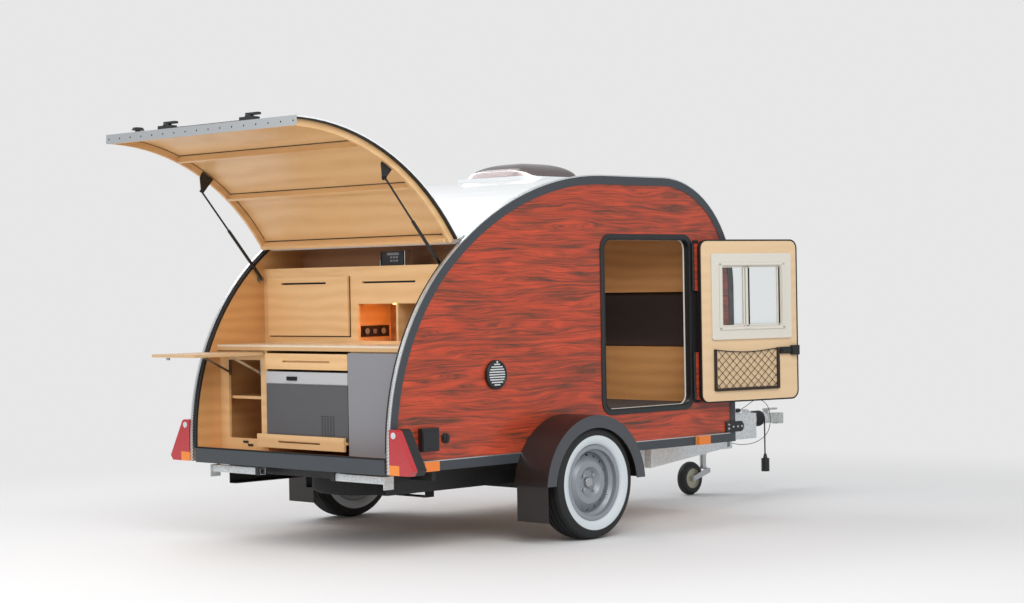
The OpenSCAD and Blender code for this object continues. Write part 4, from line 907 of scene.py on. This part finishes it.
dress(moulded, "wall_fittings")
slats_paint = even("moulded_abs_pale", "#c9cccd", 0.4, 0.0, 700, 0.1)
vent_x, vent_z, vent_y = -0.5, sill_z + 0.458, -(half_w + 0.014)
slats = bmesh.new()
for k in range(9):
    z = vent_z - 0.052 + 0.013 * k
    half = (0.056 ** 2 - (z - vent_z) ** 2) ** 0.5 if abs(z - vent_z) < 0.055 else 0.01
    block(slats, at(vent_x - half, vent_y - 0.005, z - 0.0035),
          at(vent_x + half, vent_y - 0.0003, z + 0.0035))
rod(slats, at(vent_x, vent_y - 0.001, vent_z + 0.064), at(vent_x, vent_y - 0.006, vent_z + 0.064), 0.006)
shape_to_piece("vent_slats", slats, slats_paint, "trailer", bevel=0.001)
ring = [at(vent_x + 0.0665 * cos(2 * pi * k / 48), vent_y,
           vent_z + 0.0665 * sin(2 * pi * k / 48)) for k in range(48)]
wire("vent_ring", [ring], 0.006, moulded, "trailer", closed=True)

cover = bmesh.new()
block(cover, at(-1.034, -(half_w + 0.034), sill_z + 0.104), at(-0.928, -(half_w + 0.030), sill_z + 0.20))
block(cover, at(-1.0, -(half_w + 0.037), sill_z + 0.106), at(-0.962, -(half_w + 0.033), sill_z + 0.115))
shape_to_piece("inlet_cover", cover, moulded, "trailer", bevel=0.003)
cap = bmesh.new()
rod(cap, at(-0.857, -(half_w + 0.010), sill_z + 0.157), at(-0.857, -(half_w + 0.016), sill_z + 0.157),
    0.02, 0.017)
block(cap, at(-0.861, -(half_w + 0.020), sill_z + 0.14), at(-0.853, -(half_w + 0.0155), sill_z + 0.174))
shape_to_piece("filler_cap_grip", cap, moulded, "trailer", bevel=0.001, smooth=True)

bolts = bmesh.new()
for sign in (-1, 1):
    for x, z in ((1.37, 0.075), (1.37, 0.098), (1.41, 0.084), (1.45, 0.084), (1.485, 0.084)):
        y = sign * (half_w + 0.009)
        rod(bolts, at(x, y, sill_z + z), at(x, y + sign * 0.004, sill_z + z), 0.0075, 0.005, 12)
shape_to_piece("tie_plate_bolts", bolts, zinc, "trailer", smooth=True)


# Lamps: moulded red lenses with an amber corner and a round reflector, and amber marker lamps on
# bright feet. Their lenses carry fine optical ribs.

lens, tree, shader = finish("moulded_lamp_lens", "#b8202c", 0.12, Coat_Weight=0.8, Coat_Roughness=0.03)
place = here(tree)
ribs = waves(tree, place, 60.0, "Z")
ribs_y = waves(tree, place, 60.0, "Y")
cells = times(tree, ribs, ribs_y)
emboss(tree, shader, cells, 0.4, 0.001)
red = blend(tree, cells, tone("#a8121c"), tone("#d52a34"))
amber = blend(tree, cells, tone("#e8790a"), tone("#ff9d1c"))
low = math(tree, "SUBTRACT", 1.0, zone(tree, place, (0, 0, 1), axle.z + sill_z + 0.048))
out_y = off_axis(tree, place, (0, 1, 0))
near = ramp(tree, out_y, half_w + 0.074, half_w + 0.076, 1.0, 0.0)
corner = times(tree, low, near)
marker = zone(tree, place, (1, 0, 0), axle.x + tail_x + 0.1)
which = math(tree, "MAXIMUM", corner, marker)
paint(tree, shader, blend(tree, which, red, amber))
dress(lens, "lamps")
feet = bmesh.new()
for sign in (-1, 1):
    for x in (-0.969, 1.133):
        y = sign * (half_w + 0.0032)
        block(feet, at(x - 0.056, y - 0.0012, sill_z - 0.001), at(x + 0.056, y + 0.0012, sill_z + 0.052))
shape_to_piece("marker_feet", feet, bright, "trailer", bevel=0.001)
# A round reflector on each lamp, painted pale as a painted glint
glints = bmesh.new()
for sign in (-1, 1):
    y = sign * (half_w + 0.036)
    rod(glints, at(tail_x - 0.0052, y, sill_z + 0.192), at(tail_x - 0.0085, y, sill_z + 0.192), 0.017,
        0.015)
shape_to_piece("lamp_reflectors_painted_glint", glints, slats_paint, "trailer", bevel=0.001, smooth=True)


# Skylight: a dome of smoked acrylic, blow-moulded to one smooth crown, on a white frame.

smoked, tree, shader = finish("smoked_acrylic", "#77696a", 0.1, Transmission_Weight=0.45, IOR=1.49)
place = grain(tree, shader, 3, 0.02)
rim = add(tree, "LayerWeight", {"Blend": 0.35}).outputs["Facing"]
paint(tree, shader, blend(tree, rim, tone("#8d7f7f"), tone("#564a4b")))
dome_lo, dome_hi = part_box("skylight_dome")
half = (dome_hi.y - dome_lo.y) / 2
dome_c = Vector((dome_lo.x + half, 0, dome_lo.z))
rise = dome_hi.z - dome_lo.z - 0.001
dome = bmesh.new()
count = 40
skins = []
for inset in (0.0, 0.004):
    rows = []
    for i in range(count + 1):
        row = []
        for j in range(count + 1):
            u, v = 2 * i / count - 1, 2 * j / count - 1
            # The square sheet of points is pulled to a square with round corners
            reach = max(abs(u), abs(v))
            norm = (abs(u) ** 5 + abs(v) ** 5) ** 0.2
            pull = reach / norm if norm else 1.0
            lift = (1 - reach ** 2.6) ** 0.62
            across = (half - inset) * pull
            row.append(dome.verts.new(dome_c + Vector((u * across, v * across, lift * (rise - inset)))))
        rows.append(row)
    for i in range(count):
        for j in range(count):
            dome.faces.new((rows[i][j], rows[i + 1][j], rows[i + 1][j + 1], rows[i][j + 1]))
    skins.append(rows)
edges = []
for rows in skins:
    loop = [rows[0][j] for j in range(count)] + [rows[i][count] for i in range(count)]
    loop += [rows[count][j] for j in range(count, 0, -1)] + [rows[i][0] for i in range(count, 0, -1)]
    edges.append(loop)
for k in range(len(edges[0])):
    n = (k + 1) % len(edges[0])
    dome.faces.new((edges[0][k], edges[0][n], edges[1][n], edges[1][k]))
crown = shape_to_piece("moulded_dome", dome, smoked, "skylight_dome", smooth=True)
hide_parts("skylight_dome")
hinges = bmesh.new()
for y in (-0.18, 0.12):
    rod(hinges, (dome_c.x + half + 0.004, y, dome_lo.z + 0.0035),
        (dome_c.x + half + 0.004, y + 0.06, dome_lo.z + 0.0035), 0.003)
    block(hinges, (dome_c.x + half - 0.006, y, dome_lo.z + 0.002),
          (dome_c.x + half + 0.004, y + 0.06, dome_lo.z + 0.005))
shape_to_piece("dome_hinges", hinges, moulded, "skylight_dome", smooth=True)


# Chassis: folded steel, hot-dip galvanised, whose zinc shows as spangle some 8 mm wide. The rails are black
# behind a line just ahead of the axle, and the axle is painted black.

def spangle(name, code, light, dark, roughness):
    """Hot-dip zinc: crystals that each catch the light a little differently."""
    made, tree, shader = finish(name, code, roughness, 0.3)
    place = here(tree)
    cells = add(tree, "TexVoronoi", {"Vector": place, "Scale": 110.0}).outputs["Color"]
    share = add(tree, "SeparateXYZ", {0: cells}).outputs[0]
    colour = blend(tree, share, light, dark)
    paint(tree, shader, colour)
    rough = ramp(tree, share, 0.0, 1.0, roughness - 0.08, roughness + 0.1)
    tree.links.new(rough, shader.inputs["Roughness"])
    return made, tree, shader, place, colour


hot_dip = ("#d8dbdd", tone("#e6e9ea"), tone("#cbd0d3"), 0.45)
galvanised = spangle("galvanised_steel", *hot_dip)[0]
dress(galvanised, "drawbar", "steady_right", "steady_left", "jockey_mast", "overrun_unit")
rails, tree, shader, place, colour = spangle("rails_black_behind_axle", *hot_dip)
# Black behind a line a little ahead of the axle, galvanised in front of it
front = zone(tree, place, (1, 0, 0), axle.x + 0.25)
paint(tree, shader, blend(tree, front, tone("#1d1f21"), colour))
metal = ramp(tree, front, 0.0, 1.0, 0.0, 0.3)
tree.links.new(metal, shader.inputs["Metallic"])
dress(rails, "chassis_frame")
chassis_black = even("chassis_paint", "#1b1c1e", 0.5, 0.0, 300, 0.1)
dress(chassis_black, "axle_beam")


# Mudguards: moulded in black, with a dark grey flange round the arch and a rubber flap behind.

guard, tree, shader = finish("moulded_guard", "#201f20", 0.35)
place = grain(tree, shader, 300, 0.08)
out_y = off_axis(tree, place, (0, 1, 0))
guard_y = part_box("mudguards")[1].y
rim_zone = ramp(tree, out_y, guard_y - 0.0045, guard_y - 0.0035)
paint(tree, shader, blend(tree, rim_zone, tone("#231b19"), tone("#43464b")))
dress(guard, "mudguards")


# Road wheels: radial tyres with four grooves, sipes and a white band, on pressed steel wheels with
# round vent holes and four bolts, painted silver grey. The spare lies flat under the floor.

tyre_rubber, tree, shader = finish("moulded_tyre_rubber", "#18191a", 0.7)
place = here(tree)
wheel_z = 0.2935  # the radius of the tyre
centre = at(0, 0, wheel_z)
flat = add(tree, "VectorMath", {0: place, 1: centre}, operation="SUBTRACT").outputs[0]
radius = off_axis(tree, flat, (1, 0, 1))
inner = ramp(tree, radius, 0.1965, 0.1975)
outer = ramp(tree, radius, 0.243, 0.245, 1.0, 0.0)
band = times(tree, inner, outer)
paint(tree, shader, blend(tree, band, tone("#1a1b1c"), tone("#ccd4d8")))
axes = add(tree, "SeparateXYZ", {0: flat})
around = math(tree, "ARCTAN2", axes.outputs["X"], axes.outputs["Z"])
along = add(tree, "CombineXYZ", {"X": around}).outputs[0]
sipes = waves(tree, along, 22.0)
tread = ramp(tree, radius, 0.278, 0.282)
cuts = times(tree, sipes, tread)
emboss(tree, shader, cuts, 1.0, 0.006)

# (distance from the middle plane, radius) of one side, from the bead out to the tread
section = [
    (0.048, 0.1785), (0.060, 0.1785), (0.060, 0.1975), (0.067, 0.199), (0.0735, 0.203), (0.0785, 0.213),
    (0.0815, 0.226), (0.0825, 0.236), (0.0822, 0.246), (0.0805, 0.258), (0.0775, 0.268), (0.072, 0.280),
    (0.0665, 0.2855), (0.058, 0.2895), (0.050, 0.2915), (0.0495, 0.284), (0.0435, 0.284),
    (0.043, 0.2925), (0.0185, 0.2935), (0.018, 0.2855), (0.011, 0.2855), (0.0105, 0.2935)]
lining = [(-0.066, 0.222), (-0.055, 0.268), (0.055, 0.268), (0.066, 0.222)]
profile = section + [(-y, r) for y, r in section[::-1]] + lining


def lathe(shape, profile, middle, across, up, sides=96):
    """A closed profile (distance, radius) turned round an axis."""
    middle, across, up = Vector(middle), Vector(across), Vector(up)
    other = across.cross(up)
    rings = []
    for k in range(sides):
        turn = 2 * pi * k / sides
        out = cos(turn) * up + sin(turn) * other
        rings.append([shape.verts.new(middle + d * across + r * out) for d, r in profile])
    for k in range(sides):
        a, b = rings[k], rings[(k + 1) % sides]
        for i in range(len(profile)):
            j = (i + 1) % len(profile)
            shape.faces.new((a[i], a[j], b[j], b[i]))


wheel_y = (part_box("tyre_left")[0].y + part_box("tyre_left")[1].y) / 2
for sign, name in both_sides:
    tyre = bmesh.new()
    lathe(tyre, profile, at(0, sign * wheel_y, wheel_z), (0, sign, 0), (0, 0, 1))
    made = shape_to_piece("road_tyre_" + name, tyre, tyre_rubber, name + "_wheel",
                          smooth=True)
    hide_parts("tyre_" + name)

plain_rubber = even("spare_tyre_rubber", "#17181a", 0.72, 0.0, 300, 0.2)
dress(plain_rubber, "spare_wheel")

wheel_paint = even("silver_wheel_paint", "#8f959b", 0.4, 0.25, 1200, 0.05)
dress(wheel_paint, "rim_right", "rim_left")
for sign, name in both_sides:
    nuts = bmesh.new()
    y = sign * (wheel_y + 0.016)
    for k in range(4):
        turn = radians(45 + 90 * k)
        spot = at(0.05 * cos(turn), y, wheel_z + 0.05 * sin(turn))
        rod(nuts, spot, spot + Vector((0, sign * 0.004, 0)), 0.0145, 0.0135, 24)
        rod(nuts, spot, spot + Vector((0, sign * 0.0155, 0)), 0.0115, 0.0095, 6)
    rod(nuts, at(0, y, wheel_z), at(0, y + sign * 0.016, wheel_z), 0.028, 0.024)
    rod(nuts, at(0.118, y + sign * 0.014, wheel_z - 0.07), at(0.124, y + sign * 0.034, wheel_z - 0.073),
        0.004, 0.003)
    shape_to_piece("wheel_bolts_" + name, nuts, zinc, name + "_wheel", bevel=0.001,
                   smooth=True)


# Jockey wheel: a steel wheel with a black tyre, on a galvanised stem with a crank.

jockey, tree, shader = finish("jockey_tyre_and_disc", "#18191a", 0.6)
place = here(tree)
jlo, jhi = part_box("jockey_wheel")
middle = (jlo + jhi) / 2
flat = add(tree, "VectorMath", {0: place, 1: middle}, operation="SUBTRACT").outputs[0]
radius = off_axis(tree, flat, (1, 0, 1))
disc = ramp(tree, radius, 0.0605, 0.0615, 1.0, 0.0)
paint(tree, shader, blend(tree, disc, tone("#1a1b1c"), tone("#b9b7a4")))
dress(jockey, "jockey_wheel")
dress(zinc, "jockey_stem", "jockey_fork")


# Coupling: cast housing, rubber bellow, handbrake lever with a moulded grip, and the ball head.

castings = spangle("zinc_plated_casting", "#b4bab8", tone("#c9cfcb"), tone("#a5aaa9"), 0.4)[0]
dress(castings, "coupling_head")
bellow = bmesh.new()
bellow_profile = []
for k in range(12):
    bellow_profile += [(0.008 * k, 0.036), (0.008 * k + 0.004, 0.0405)]
bellow_profile += [(0.096, 0.036), (0.096, 0.0345), (0.0, 0.0345)]
lathe(bellow, bellow_profile, at(2.6035, 0, lead_z), (1, 0, 0), (0, 0, 1), sides=32)
shape_to_piece("bellow_folds", bellow, rubber, "trailer", smooth=True)
grip = bmesh.new()
rod(grip, at(2.366, 0, lead_z + 0.06), at(2.468, 0, lead_z + 0.06), 0.0135)
shape_to_piece("handbrake_grip", grip, moulded, "trailer", bevel=0.004, smooth=True)
